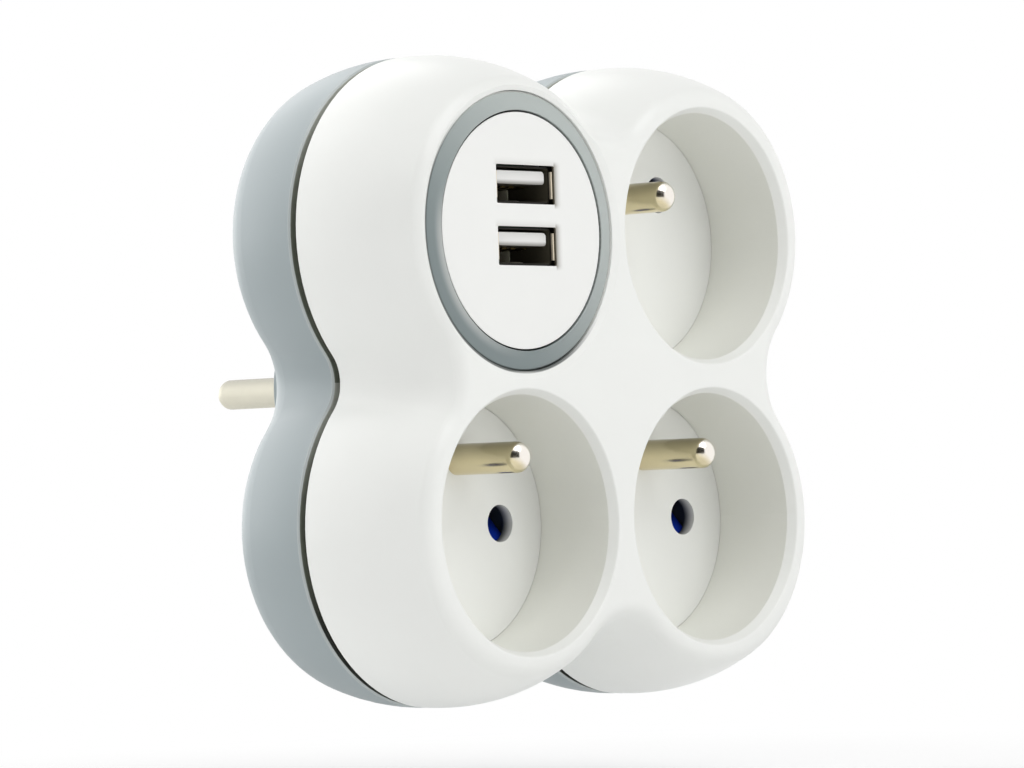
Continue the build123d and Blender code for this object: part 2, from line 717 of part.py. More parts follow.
def contact_carrier():
    """Plate under the shutters that carries the outlets, with passages for the plug pins."""
    plate = Part()
    for _, side_x, side_y, _ in OUTLETS:
        plate += rod(CARRIER_R, CARRIER_UNDER, CARRIER_TOP, side_x * WELL, side_y * WELL)
    plate += block(WELL_PITCH, CARRIER_ARM, CARRIER_UNDER, CARRIER_TOP, 0, -WELL)
    plate += block(CARRIER_ARM, WELL_PITCH, CARRIER_UNDER, CARRIER_TOP, WELL, 0)
    for outlet in OUTLETS:
        for side in SIDES:
            x, y = outlet_point(outlet, side * CONTACT, 0)
            plate -= rod(CARRIER_HOLE_R, CARRIER_UNDER, CARRIER_TOP, x, y)
        x, y = outlet_point(outlet, 0, EARTH_OFFSET)
        plate -= rod(EARTH_TAIL_R + TAIL_CLEAR, CARRIER_UNDER, CARRIER_TOP, x, y)
    return plate


def strip(points, low):
    """A flat metal strip along a line of points, with rounded ends and corners."""
    metal = Part()
    for start, end in zip(points, points[1:]):
        length = math.dist(start, end)
        angle = math.degrees(math.atan2(end[1] - start[1], end[0] - start[0]))
        bar = span(0, length, -STRIP_WIDTH / 2, STRIP_WIDTH / 2, low, low + STRIP_THICK)
        metal += Pos(start[0], start[1], 0) * Rot(0, 0, angle) * bar
    for x, y in points:
        metal += rod(STRIP_WIDTH / 2, low, low + STRIP_THICK, x, y)
    return metal


def clip(outlet, side):
    """Two spring leaves that grip a plug pin, standing on a busbar."""
    inner = CLIP_HALF_GAP
    outer = CLIP_HALF_GAP + STRIP_THICK
    knee = CLIP_TOP - CLIP_FLARE_RISE
    leaf = make_face(
        Polyline(
            (inner, BUS_LEVEL),
            (outer, BUS_LEVEL),
            (outer, knee),
            (outer + CLIP_FLARE, CLIP_TOP),
            (inner + CLIP_FLARE, CLIP_TOP),
            (inner, knee),
            close=True,
        )
    )
    right = extrude(Plane.XZ * leaf, amount=CLIP_WIDTH / 2, both=True)
    pair = right + mirror(right, about=Plane.YZ)
    pair += block(2 * outer, CLIP_WIDTH, BUS_LEVEL, BUS_TOP)
    x, y = outlet_point(outlet, side * CONTACT, 0)
    return Pos(x, y, 0) * Rot(0, 0, outlet[3]) * pair


def pin_foot(side):
    """Foot riveted to a plug pin's tail, and the leg that rises to the busbar."""
    low = PLUG_FACE + PIN_FLANGE_THICK
    half = STRIP_WIDTH / 2
    foot = span(FOOT_INNER, FOOT_OUTER, -half, half, low, low + STRIP_THICK)
    foot += span(FOOT_INNER, FOOT_INNER + STRIP_THICK, -half, half, low, BUS_TOP)
    foot += span(FOOT_INNER, FOOT_OUTER, -half, half, BUS_LEVEL, BUS_TOP)
    foot -= rod(PIN_TAIL_R + TAIL_CLEAR, low, low + STRIP_THICK, CONTACT, 0)
    return foot if side > 0 else mirror(foot, about=Plane.YZ)


def line_busbar():
    """Conductor from the right plug pin to one contact of each outlet."""
    low_left, low_right, up_right = OUTLETS
    first = outlet_point(low_left, CONTACT, 0)
    second = outlet_point(low_right, -CONTACT, 0)
    third = outlet_point(up_right, -CONTACT, 0)
    bar = strip([first, (first[0], -LINE_RUN), (second[0], -LINE_RUN), second], BUS_LEVEL)
    bar += strip([(CONTACT, -LINE_RUN), (CONTACT, 0), third], BUS_LEVEL)
    bar += pin_foot(1)
    bar += clip(low_left, 1) + clip(low_right, -1) + clip(up_right, -1)
    return bar


def neutral_busbar():
    """Conductor from the left plug pin to the other contact of each outlet."""
    low_left, low_right, up_right = OUTLETS
    first = outlet_point(low_left, -CONTACT, 0)
    second = outlet_point(low_right, CONTACT, 0)
    third = outlet_point(up_right, CONTACT, 0)
    elbow = (-WELL, -NEUTRAL_ELBOW)
    near = (BYPASS_NEAR_X, BYPASS_NEAR_Y)
    far = (BYPASS_FAR_X, BYPASS_FAR_Y)
    side_high = (NEUTRAL_SIDE_X, NEUTRAL_SIDE_Y)
    side_low = (NEUTRAL_SIDE_X, -NEUTRAL_DROP)
    bar = strip([(-CONTACT, 0), elbow, (first[0], -NEUTRAL_DROP), first], BUS_LEVEL)
    bar += strip([(-CONTACT, 0), near, far, third], BUS_LEVEL)
    bar += strip([third, side_high, side_low, second], BUS_LEVEL)
    bar += pin_foot(-1)
    bar += clip(low_left, -1) + clip(low_right, 1) + clip(up_right, 1)
    return bar


def earth_strip():
    """Strip under the carrier that joins the earth pins to the plug's earth contact."""
    pins = [outlet_point(outlet, 0, EARTH_OFFSET) for outlet in OUTLETS]
    plug = (0, EARTH_OFFSET)
    metal = strip([pins[0], pins[1]], EARTH_UNDER)
    metal += strip([(0, pins[0][1]), plug, pins[2]], EARTH_UNDER)
    metal += rod(EARTH_PAD_R, EARTH_UNDER, CARRIER_UNDER, EARTH_PAD_X, EARTH_OFFSET)
    for x, y in pins:
        metal -= rod(EARTH_TAIL_R + TAIL_CLEAR, EARTH_UNDER, CARRIER_UNDER, x, y)
    return metal


def usb_place():
    """Where the charger's own frame sits."""
    return Pos(USB_X, USB_Y, 0)


def usb_ring():
    """Grey ring around the USB disc, sloping up towards its inner edge."""
    low = USB_SEAT_TOP + DISC_FLANGE_THICK
    section = make_face(
        Polyline(
            (RING_BORE_R, 0, low),
            (RING_R, 0, low),
            (RING_R, 0, FRONT - RING_DROP - RING_EDGE),
            (RING_R - RING_EDGE, 0, FRONT - RING_DROP),
            (RING_BORE_R + RING_BORE_EDGE, 0, FRONT),
            (RING_BORE_R, 0, FRONT - RING_BORE_EDGE),
            close=True,
        )
    )
    return usb_place() * revolve(section, axis=Axis.Z)


def usb_faceplate():
    """White disc flanged under the ring, with a thin lip round each port and a pocket behind it."""
    step = USB_SEAT_TOP + DISC_FLANGE_THICK
    plate = rod(DISC_FLANGE_R, USB_SEAT_TOP, step) + rod(DISC_R, step, DISC_FACE)
    width = PORT_WIDTH + 2 * PORT_MOUTH_SIDE
    height = PORT_HEIGHT + 2 * PORT_MOUTH_END
    mouth = extrude(RectangleRounded(width, height, PORT_LIP_CORNER), amount=FRONT_THICK)
    pocket_width = PORT_WIDTH + 2 * PORT_POCKET_MARGIN
    pocket_height = PORT_HEIGHT + 2 * PORT_POCKET_MARGIN
    pocket = block(pocket_width, pocket_height, USB_SEAT_TOP, DISC_FACE - PORT_LIP)
    for _, y in PORTS:
        plate -= Pos(PORT_OFFSET_X, y, USB_SEAT_TOP) * mouth
        plate -= Pos(PORT_OFFSET_X, y, 0) * pocket
    return usb_place() * plate


def port_flap():
    """The flap that flares out from the end of a port's shell, on its +X side."""
    root = PORT_FACE - FLAP_LENGTH
    reach = PORT_WIDTH / 2
    section = make_face(
        Polyline(
            (reach - PORT_WALL, root),
            (reach, root),
            (reach + FLAP_FLARE, PORT_FACE),
            (reach + FLAP_FLARE - PORT_WALL, PORT_FACE),
            close=True,
        )
    )
    return extrude(Plane.XZ * section, amount=FLAP_WIDTH / 2, both=True)


def usb_shell(y):
    """Formed steel shell of a USB port: a tube with a flared flap at each end of its mouth."""
    width = PORT_WIDTH - 2 * PORT_WALL
    height = PORT_HEIGHT - 2 * PORT_WALL
    outline = RectangleRounded(PORT_WIDTH, PORT_HEIGHT, PORT_ROUND)
    outline -= RectangleRounded(width, height, PORT_ROUND - PORT_WALL)
    shell = Pos(0, 0, BOARD_TOP) * extrude(outline, amount=PORT_DEPTH - FLAP_LENGTH)
    for turn in (0, 2 * QUARTER_ANGLE):
        shell += Rot(0, 0, turn) * port_flap()
    return usb_place() * Pos(PORT_OFFSET_X, y, 0) * shell


def tongue_level():
    """Height of the tongue's middle above its port's middle."""
    return PORT_HEIGHT / 2 - PORT_WALL - TONGUE_GAP - TONGUE_HEIGHT / 2


def usb_tongue(y):
    """Insulator of a USB port: the block on the board and the tongue that stands in the mouth."""
    width = PORT_WIDTH - 2 * PORT_WALL - 2 * PORT_CLEAR
    height = PORT_HEIGHT - 2 * PORT_WALL - 2 * PORT_CLEAR
    foot = RectangleRounded(width, height, PORT_ROUND - PORT_WALL)
    outline = RectangleRounded(TONGUE_WIDTH, TONGUE_HEIGHT, TONGUE_ROUND)
    top = PORT_FACE - TONGUE_RECESS
    base = Pos(0, 0, BOARD_TOP) * extrude(foot, amount=PORT_BASE)
    base += Pos(0, tongue_level(), BOARD_TOP) * extrude(outline, amount=top - BOARD_TOP)
    return usb_place() * Pos(PORT_OFFSET_X, y, 0) * base


def usb_contacts(y):
    """The spring contacts on the underside of a tongue."""
    under = tongue_level() - TONGUE_HEIGHT / 2
    low = BOARD_TOP + PORT_BASE
    row = []
    for x in (-PORT_CONTACT_OUTER, -PORT_CONTACT_INNER, PORT_CONTACT_INNER, PORT_CONTACT_OUTER):
        middle = under - PORT_CONTACT_THICK / 2
        blade = block(PORT_CONTACT_WIDTH, PORT_CONTACT_THICK, low, low + PORT_CONTACT_LENGTH, x, middle)
        row.append(usb_place() * Pos(PORT_OFFSET_X, y, 0) * blade)
    return Compound(children=row)


def usb_board():
    """Charger board behind the ports."""
    return usb_place() * rod(BOARD_R, BOARD_UNDER, BOARD_TOP)


def usb_transformer():
    """Small transformer under the board: a core through a wound bobbin."""
    middle = BOARD_UNDER - CORE_HEIGHT / 2
    core = block(CORE_LENGTH, CORE_WIDTH, BOARD_UNDER - CORE_HEIGHT, BOARD_UNDER, 0, CORE_Y)
    low = middle - BOBBIN_HEIGHT / 2
    core += block(BOBBIN_LENGTH, BOBBIN_WIDTH, low, low + BOBBIN_HEIGHT, 0, CORE_Y)
    return usb_place() * core


def capacitor(radius, length, x):
    """A can capacitor hanging from the board."""
    can = rod(radius, BOARD_UNDER - length, BOARD_UNDER, x, CAP_Y)
    rim = can.edges().filter_by(GeomType.CIRCLE).sort_by(Axis.Z)[0]
    return usb_place() * fillet([rim], CAP_ROUND)


def lead(start, end):
    """An insulated lead from a busbar up to the board."""
    path = FilletPolyline(
        (start[0], start[1], BUS_TOP),
        (start[0], start[1], LEAD_LEVEL),
        (end[0], end[1], LEAD_LEVEL),
        (end[0], end[1], BOARD_UNDER),
        radius=LEAD_BEND,
    )
    return sweep(Plane(origin=path @ 0, z_dir=path % 0) * Circle(LEAD_R), path=path)


def housing_screws():
    """The four case screws, as separate solids."""
    shank = rod(SCREW_SHANK_R, SCREW_SEAT, SCREW_SEAT + SCREW_LENGTH)
    bottom = SCREW_SEAT - SCREW_HEAD_HEIGHT
    head = rod(SCREW_HEAD_R, bottom, SCREW_SEAT)
    head -= block(CROSS_LENGTH, CROSS_WIDTH, bottom, bottom + CROSS_DEPTH)
    head -= block(CROSS_WIDTH, CROSS_LENGTH, bottom, bottom + CROSS_DEPTH)
    return Compound(children=[place * (head + shank) for place in screw_places()])


def pieces():
    """Every piece of the adaptor by name."""
    made = {
        "front_cover": front_cover(),
        "rear_housing": rear_housing(),
        "plug_body": plug_body(),
        "plug_pin_left": plug_pin(-1),
        "plug_pin_right": plug_pin(1),
        "plug_earth_contact": plug_earth_contact(),
        "contact_carrier": contact_carrier(),
        "line_busbar": line_busbar(),
        "neutral_busbar": neutral_busbar(),
        "earth_strip": earth_strip(),
        "usb_ring": usb_ring(),
        "usb_faceplate": usb_faceplate(),
        "usb_board": usb_board(),
        "usb_transformer": usb_transformer(),
        "usb_input_capacitor": capacitor(INPUT_CAP_R, INPUT_CAP_LENGTH, INPUT_CAP_X),
        "usb_output_capacitor": capacitor(OUTPUT_CAP_R, OUTPUT_CAP_LENGTH, OUTPUT_CAP_X),
        "usb_line_lead": lead(
            (LINE_LEAD_X, LINE_LEAD_Y), (USB_X + LINE_LEAD_END_X, USB_Y + LINE_LEAD_END_Y)
        ),
        "usb_neutral_lead": lead(
            (NEUTRAL_LEAD_X, NEUTRAL_LEAD_Y), (USB_X + NEUTRAL_LEAD_END_X, USB_Y + NEUTRAL_LEAD_END_Y)
        ),
        "housing_screws": housing_screws(),
    }
    for name, y in PORTS:
        made[f"usb_{name}_shell"] = usb_shell(y)
        made[f"usb_{name}_tongue"] = usb_tongue(y)
        made[f"usb_{name}_contacts"] = usb_contacts(y)
    for name, side_x, side_y, turn in OUTLETS:
        place = outlet_place(side_x, side_y, turn)
        made[f"socket_floor_{name}"] = place * socket_floor()
        made[f"earth_pin_{name}"] = place * earth_pin()
        made[f"shutter_{name}"] = place * shutter()
        made[f"shutter_spring_{name}"] = place * shutter_spring()
    return made


os.makedirs("parts", exist_ok=True)
for node, shape in pieces().items():
    export_step(Rot(90, 0, 0) * shape, f"parts/{node}.step")
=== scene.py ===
"""Looks of a clover-shaped plug-in socket adaptor with three earthed outlets and two USB ports.

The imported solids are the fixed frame. Their shapes stay, each gets the finish of its own piece,
and the small formed parts, such as screws, springs and port contacts, are modelled here.
"""

import logging
import math
from collections.abc import Callable, Sequence
from dataclasses import dataclass
from enum import Enum
from functools import cache

import bmesh
import bpy
from mathutils import Matrix, Vector


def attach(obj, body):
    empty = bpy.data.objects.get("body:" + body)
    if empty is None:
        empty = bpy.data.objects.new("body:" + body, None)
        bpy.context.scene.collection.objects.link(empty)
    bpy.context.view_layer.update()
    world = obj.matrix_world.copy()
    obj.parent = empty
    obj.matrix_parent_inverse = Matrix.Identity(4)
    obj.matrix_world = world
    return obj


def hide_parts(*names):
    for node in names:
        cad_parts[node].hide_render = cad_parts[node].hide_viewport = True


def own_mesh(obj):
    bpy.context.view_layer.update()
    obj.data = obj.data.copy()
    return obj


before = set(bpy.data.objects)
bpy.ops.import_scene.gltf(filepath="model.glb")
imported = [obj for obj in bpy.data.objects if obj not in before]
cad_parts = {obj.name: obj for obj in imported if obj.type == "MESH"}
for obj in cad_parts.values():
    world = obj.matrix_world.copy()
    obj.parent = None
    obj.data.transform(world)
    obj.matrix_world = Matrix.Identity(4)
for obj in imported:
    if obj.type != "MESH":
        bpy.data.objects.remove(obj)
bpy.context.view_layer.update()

LOG = logging.getLogger("adaptor")
MAIN_BODY = "adaptor"
Colour = tuple[float, float, float]
Point = tuple[float, float, float]
WHITE: Colour = (1.0, 1.0, 1.0)
MM = 0.001

# Places that several pieces share: the middles of the wells and the panel, and of the two ports.
WELL_OFFSET = 22.1 * MM
PORT_ACROSS = -20.92 * MM
PORT_LEVELS = {"upper": WELL_OFFSET + 7.0 * MM, "lower": WELL_OFFSET - 2.35 * MM}

# A noise's usual detail, how much of it each finer layer keeps, and its middle value.
NOISE_DETAIL = 2.0
NOISE_KEEP = 0.55
NOISE_MIDDLE = 0.5

# Points of a mesh this close together are one, and faces this close to a level lie in it.
MERGE_REACH = 1e-6
LEVEL_REACH = 1e-7


class Axis(Enum):
    """Axes of the adaptor, numbered as the outputs of a Separate XYZ node."""

    ACROSS = 0
    DEPTH = 1
    UP = 2


class Wire:
    """One output of a shader tree. Arithmetic on it adds Math nodes."""

    def __init__(self, sheet: "Sheet", socket: bpy.types.NodeSocket | None) -> None:
        """Keeps the tree and the output that this wire comes from."""
        self.sheet = sheet
        self.socket = socket

    def __add__(self, other: "Feed") -> "Wire":
        """Sum."""
        return self.sheet.maths("ADD", self, other)

    def __radd__(self, other: "Feed") -> "Wire":
        """Sum with a number on the left."""
        return self.sheet.maths("ADD", other, self)

    def __sub__(self, other: "Feed") -> "Wire":
        """Difference."""
        return self.sheet.maths("SUBTRACT", self, other)

    def __rsub__(self, other: "Feed") -> "Wire":
        """Difference with a number on the left."""
        return self.sheet.maths("SUBTRACT", other, self)

    def __mul__(self, other: "Feed") -> "Wire":
        """Product."""
        return self.sheet.maths("MULTIPLY", self, other)

    def __rmul__(self, other: "Feed") -> "Wire":
        """Product with a number on the left."""
        return self.sheet.maths("MULTIPLY", other, self)

    def __pow__(self, other: "Feed") -> "Wire":
        """Power."""
        return self.sheet.maths("POWER", self, other)

    def __abs__(self) -> "Wire":
        """Size without sign."""
        return self.sheet.maths("ABSOLUTE", self)


Feed = Wire | float | Sequence[float]


class Sheet:
    """The node tree of one material or of the world."""

    def __init__(self, tree: bpy.types.NodeTree) -> None:
        """Starts from an empty tree."""
        self.tree = tree
        self.tree.nodes.clear()

    def node(
        self, kind: str, settings: dict[str, object], sockets: dict[int | str, Feed], output: int | str = 0
    ) -> Wire:
        """Adds any node.

        Args:
            kind: the node's type.
            settings: its properties, set first.
            sockets: values or wires of its inputs, by name or number.
            output: the output that is wanted.

        Returns:
            A wire from that output.
        """
        made = self.tree.nodes.new(kind)
        for key, value in settings.items():
            setattr(made, key, value)
        for key, value in sockets.items():
            if isinstance(value, Wire):
                self.tree.links.new(value.socket, made.inputs[key])
            else:
                made.inputs[key].default_value = value
        return Wire(self, made.outputs[output] if len(made.outputs) else None)

    def maths(self, operation: str, left: Feed, right: Feed = 0.0) -> Wire:
        """Adds a Math node, with a right value for the operations that take two."""
        return self.node("ShaderNodeMath", {"operation": operation}, {0: left, 1: right})

    def place(self) -> Wire:
        """The point on the piece, in metres of the shared frame."""
        return self.node("ShaderNodeTexCoord", {}, {}, "Object")

    def along(self, place: Wire, axis: Axis) -> Wire:
        """One coordinate of a point."""
        return self.node("ShaderNodeSeparateXYZ", {}, {0: place}, axis.value)

    def radius(self, across: Wire, up: Wire) -> Wire:
        """Distance from a middle, from its parts across and up."""
        return (across * across + up * up) ** 0.5

    def stretched(self, place: Wire, scale: Sequence[float]) -> Wire:
        """A point with each axis scaled, for a grain that runs one way."""
        return self.node("ShaderNodeMapping", {}, {"Vector": place, "Scale": scale})

    def noise(self, place: Wire, scale: float, detail: float = NOISE_DETAIL) -> Wire:
        """A cloudy value from 0 to 1, with a scale in waves per metre."""
        sockets = {"Vector": place, "Scale": scale, "Detail": detail, "Roughness": NOISE_KEEP}
        return self.node("ShaderNodeTexNoise", {}, sockets)

    def step(self, value: Wire, low: float, high: float) -> Wire:
        """A smooth rise from 0 at low to 1 at high."""
        # Inputs 1 and 2 of a Map Range node are the ends of the value, 3 and 4 those of its result.
        sockets = {0: value, 1: low, 2: high, 3: 0.0, 4: 1.0}
        return self.node("ShaderNodeMapRange", {"interpolation_type": "SMOOTHSTEP"}, sockets)

    def past(self, value: Wire, edge: float, blur: float) -> Wire:
        """A smooth rise from 0 before an edge to 1 past it, with a blur on each side."""
        return self.step(value, edge - blur, edge + blur)

    def fade(self, value: Wire, reach: float) -> Wire:
        """A straight fall from 1 at 0 to 0 at reach."""
        return self.node("ShaderNodeMapRange", {}, {0: value, 1: 0.0, 2: reach, 3: 1.0, 4: 0.0})

    def blend(self, share: Feed, first: Feed, second: Feed) -> Wire:
        """A colour between two others."""
        # The colours of a Mix node are its inputs 6 and 7 and its output 2.
        sockets = {0: share, 6: opaque(first), 7: opaque(second)}
        return self.node("ShaderNodeMix", {"data_type": "RGBA"}, sockets, 2)

    def bump(self, height: Wire, depth: float) -> Wire:
        """A normal from a height of 0 to 1 and its depth in metres."""
        return self.node("ShaderNodeBump", {}, {"Strength": 1.0, "Distance": depth, "Height": height})


def opaque(colour: Feed) -> Feed:
    """A colour with full alpha, or the wire as it is."""
    return colour if isinstance(colour, Wire) else (*colour, 1.0)


def scaled(triple: Colour | Point, share: float) -> Colour | Point:
    """A colour made darker or lighter, or a point moved in or out."""
    return (triple[0] * share, triple[1] * share, triple[2] * share)


def painted(name: str, draw: Callable[[Sheet], Wire]) -> bpy.types.Material:
    """Makes a material.

    Args:
        name: the material's name.
        draw: draws its surface shader in an empty tree.

    Returns:
        The new material.
    """
    made = bpy.data.materials.new(name)
    made.use_nodes = True
    sheet = Sheet(made.node_tree)
    sheet.node("ShaderNodeOutputMaterial", {}, {"Surface": draw(sheet)})
    return made


@dataclass(frozen=True)
class Finish:
    """A finish of the adaptor. Each kind draws its own shader."""

    name: str
    colour: Colour

    def tone(self, sheet: Sheet, place: Wire) -> Wire:
        """Draws the base colour at a point of the piece."""
        raise NotImplementedError

    def shade(self, sheet: Sheet) -> Wire:
        """Draws the surface shader."""
        raise NotImplementedError

    @cache
    def material(self) -> bpy.types.Material:
        """The material of this finish, made once."""
        return painted(f"finish_{self.name}", self.shade)


@dataclass(frozen=True)
class MouldedPlastic(Finish):
    """Injection-moulded plastic: a slow drift of tone, smudged gloss and a fine grain."""

    gloss: float = 0.34
    ior: float = 1.48
    drift: float = 0.02
    drift_scale: float = 38.0
    drift_detail: float = 3.0
    smudge: float = 0.07
    smudge_scale: float = 110.0
    smudge_detail: float = 4.0
    grain_scale: float = 2600.0
    grain_depth: float = 2.2e-6
    ripple_scale: float = 170.0
    ripple_detail: float = 1.0
    ripple_depth: float = 9.0e-6

    def tone(self, sheet: Sheet, place: Wire) -> Wire:
        """Draws the slow drift of the colour."""
        cloud = sheet.noise(place, self.drift_scale, self.drift_detail)
        return sheet.blend(cloud, scaled(self.colour, 1 - self.drift), scaled(self.colour, 1 + self.drift))

    def shade(self, sheet: Sheet) -> Wire:
        """Draws colour, gloss and grain.

        Args:
            sheet: the material's node tree.

        Returns:
            The surface shader.
        """
        place = sheet.place()
        smudge = sheet.noise(place, self.smudge_scale, self.smudge_detail) - NOISE_MIDDLE
        ripple = sheet.noise(place, self.ripple_scale, self.ripple_detail)
        grain = sheet.noise(place, self.grain_scale)
        height = ripple + grain * (self.grain_depth / self.ripple_depth)
        sockets = {
            "Base Color": self.tone(sheet, place),
            "Roughness": self.gloss + smudge * self.smudge,
            "IOR": self.ior,
            "Normal": sheet.bump(height, self.ripple_depth),
        }
        return sheet.node("ShaderNodeBsdfPrincipled", {}, sockets)


@dataclass(frozen=True)
class CoverPlastic(MouldedPlastic):
    """The cover's plastic, with painted shade in the wells and a painted shadow line around the ring."""

    inside_shade: Colour = (0.80, 0.806, 0.757)
    well_offset: float = WELL_OFFSET
    well_radius: float = 19.8 * MM
    well_mouth: float = -56.5 * MM
    well_edge: float = 0.2 * MM
    # The seat sizes and colour below paint a shadow line in the gap around the ring, on its left.
    seat_from: float = 21.5 * MM
    seat_to: float = 21.75 * MM
    seat_blur: float = 1.0 * MM
    seat_turn: tuple[float, float] = (-14.0 * MM, 8.0 * MM)
    seat: Colour = (0.12, 0.13, 0.125)

    def tone(self, sheet: Sheet, place: Wire) -> Wire:
        """Draws the drift of the colour, the painted shade of the wells and the painted shadow line at the
        edge where the ring sits.

        Args:
            sheet: the material's node tree.
            place: the point on the piece.

        Returns:
            The base colour.
        """
        side, height = sheet.along(place, Axis.ACROSS), sheet.along(place, Axis.UP)
        radius = sheet.radius(abs(side) - self.well_offset, abs(height) - self.well_offset)
        within = 1.0 - sheet.step(radius, self.well_radius, self.well_radius + self.well_edge)
        within = within * sheet.past(sheet.along(place, Axis.DEPTH), self.well_mouth, self.well_edge)
        # Painted shade: the wells take a darker, warmer tone than the front.
        colour = sheet.blend(within, super().tone(sheet, place), self.inside_shade)
        # Painted shadow of the gap around the ring, on its left side.
        seat = 1.0 - sheet.step(radius, self.seat_from, self.seat_to)
        seat = seat * sheet.step(height, 0.0, self.seat_blur) * sheet.step(-1.0 * side, 0.0, self.seat_blur)
        seat = seat * (1.0 - sheet.step(side + height, *self.seat_turn))
        return sheet.blend(seat, colour, self.seat)


@dataclass(frozen=True)
class PocketPlastic(MouldedPlastic):
    """Plastic with painted shade where it goes back into a pocket, towards +Y."""

    # Painted shade: past dark_from, over dark_depth, the colour turns to dark.
    dark_from: float = 0.0
    dark_depth: float = 0.5 * MM
    dark: Colour = (0.01, 0.01, 0.01)

    def surface(self, sheet: Sheet, place: Wire) -> Wire:
        """The colour of the face, before the painted shade."""
        return super().tone(sheet, place)

    def tone(self, sheet: Sheet, place: Wire) -> Wire:
        """Draws the drift of the colour and the painted shade of the pocket.

        Args:
            sheet: the material's node tree.
            place: the point on the piece.

        Returns:
            The base colour.
        """
        depth = sheet.along(place, Axis.DEPTH)
        deep = sheet.step(depth, self.dark_from, self.dark_from + self.dark_depth)
        return sheet.blend(deep, self.surface(sheet, place), self.dark)


@dataclass(frozen=True)
class FloorPlastic(PocketPlastic):
    """The plastic of a well's floor, with painted light on its left and painted shade on its right."""

    centre: float = WELL_OFFSET
    waver: float = 1.0 * MM
    left_reach: float = -5.0 * MM
    right_reach: float = 19.5 * MM
    # Painted light on the left of each floor and painted shade on its right.
    left: float = 1.08
    right: float = 0.91

    def surface(self, sheet: Sheet, place: Wire) -> Wire:
        """Draws painted light on the left of the floor and painted shade on its right, along a wavering
        line.

        Args:
            sheet: the material's node tree.
            place: the point on the piece.

        Returns:
            The colour of the face.
        """
        across = sheet.along(place, Axis.ACROSS)
        across = across - sheet.maths("SIGN", across) * self.centre
        across = across + sheet.noise(place, self.drift_scale) * self.waver
        share = sheet.step(across, self.left_reach, self.right_reach)
        return sheet.blend(share, scaled(self.colour, self.left), scaled(self.colour, self.right))


@dataclass(frozen=True)
class PlatePlastic(PocketPlastic):
    """The disc's plastic, with painted shade along the right and upper edges of its port mouths."""

    port_across: float = PORT_ACROSS
    port_levels: tuple[float, ...] = tuple(PORT_LEVELS.values())
    mouth_side: float = 6.65 * MM
    mouth_end: float = 2.95 * MM
    side_reach: float = 1.7 * MM
    side_share: float = 0.8
    end_reach: float = 1.3 * MM
    end_share: float = 0.25
    corner: float = 0.7 * MM
    lip: float = 0.25 * MM
    # Painted shade along the right and upper edges of the port mouths.
    mouth_shade: Colour = (0.16, 0.138, 0.096)

    def edge(self, sheet: Sheet, out: Wire, along: Wire, mouth: tuple[float, float], reach: float) -> Wire:
        """Draws the strip of painted shade beside one edge of a mouth.

        Args:
            sheet: the material's node tree.
            out: distance from the port's middle towards the edge.
            along: distance from the port's middle along the edge.
            mouth: half sizes of the mouth, towards the edge and along it.
            reach: width of the strip.

        Returns:
            The share of the painted shade.
        """
        half, end = mouth
        strip = sheet.fade(out - half, reach) * sheet.step(out, half - self.lip, half)
        return strip * strip * sheet.fade(abs(along) - end, self.corner)

    def tone(self, sheet: Sheet, place: Wire) -> Wire:
        """Draws the drift of the colour and the painted shade along the edges.

        Args:
            sheet: the material's node tree.
            place: the point on the piece.

        Returns:
            The base colour.
        """
        across = sheet.along(place, Axis.ACROSS) - self.port_across
        colour = super().tone(sheet, place)
        for level in self.port_levels:
            up = sheet.along(place, Axis.UP) - level
            right = self.edge(sheet, across, up, (self.mouth_side, self.mouth_end), self.side_reach)
            above = self.edge(sheet, up, across, (self.mouth_end, self.mouth_side), self.end_reach)
            share = sheet.maths("MAXIMUM", right * self.side_share, above * self.end_share)
            colour = sheet.blend(share, colour, self.mouth_shade)
        return colour


@dataclass(frozen=True)
class TonguePlastic(PocketPlastic):
    """The tongue's plastic, with painted shade along the rounded lower edge of its front."""

    level: float = 0.0
    # Painted shade along the rounded lower edge of the tongue's front.
    edge_low: float = 0.1 * MM
    edge_high: float = 0.95 * MM
    edge_share: float = 0.8
    lower_edge_shade: Colour = (0.14, 0.13, 0.11)

    def tone(self, sheet: Sheet, place: Wire) -> Wire:
        """Draws the drift of the colour and the painted shade of the lower edge.

        Args:
            sheet: the material's node tree.
            place: the point on the piece.

        Returns:
            The base colour.
        """
        up = sheet.along(place, Axis.UP) - self.level
        low = (1.0 - sheet.step(up, self.edge_low, self.edge_high)) * self.edge_share
        return sheet.blend(low, super().tone(sheet, place), self.lower_edge_shade)


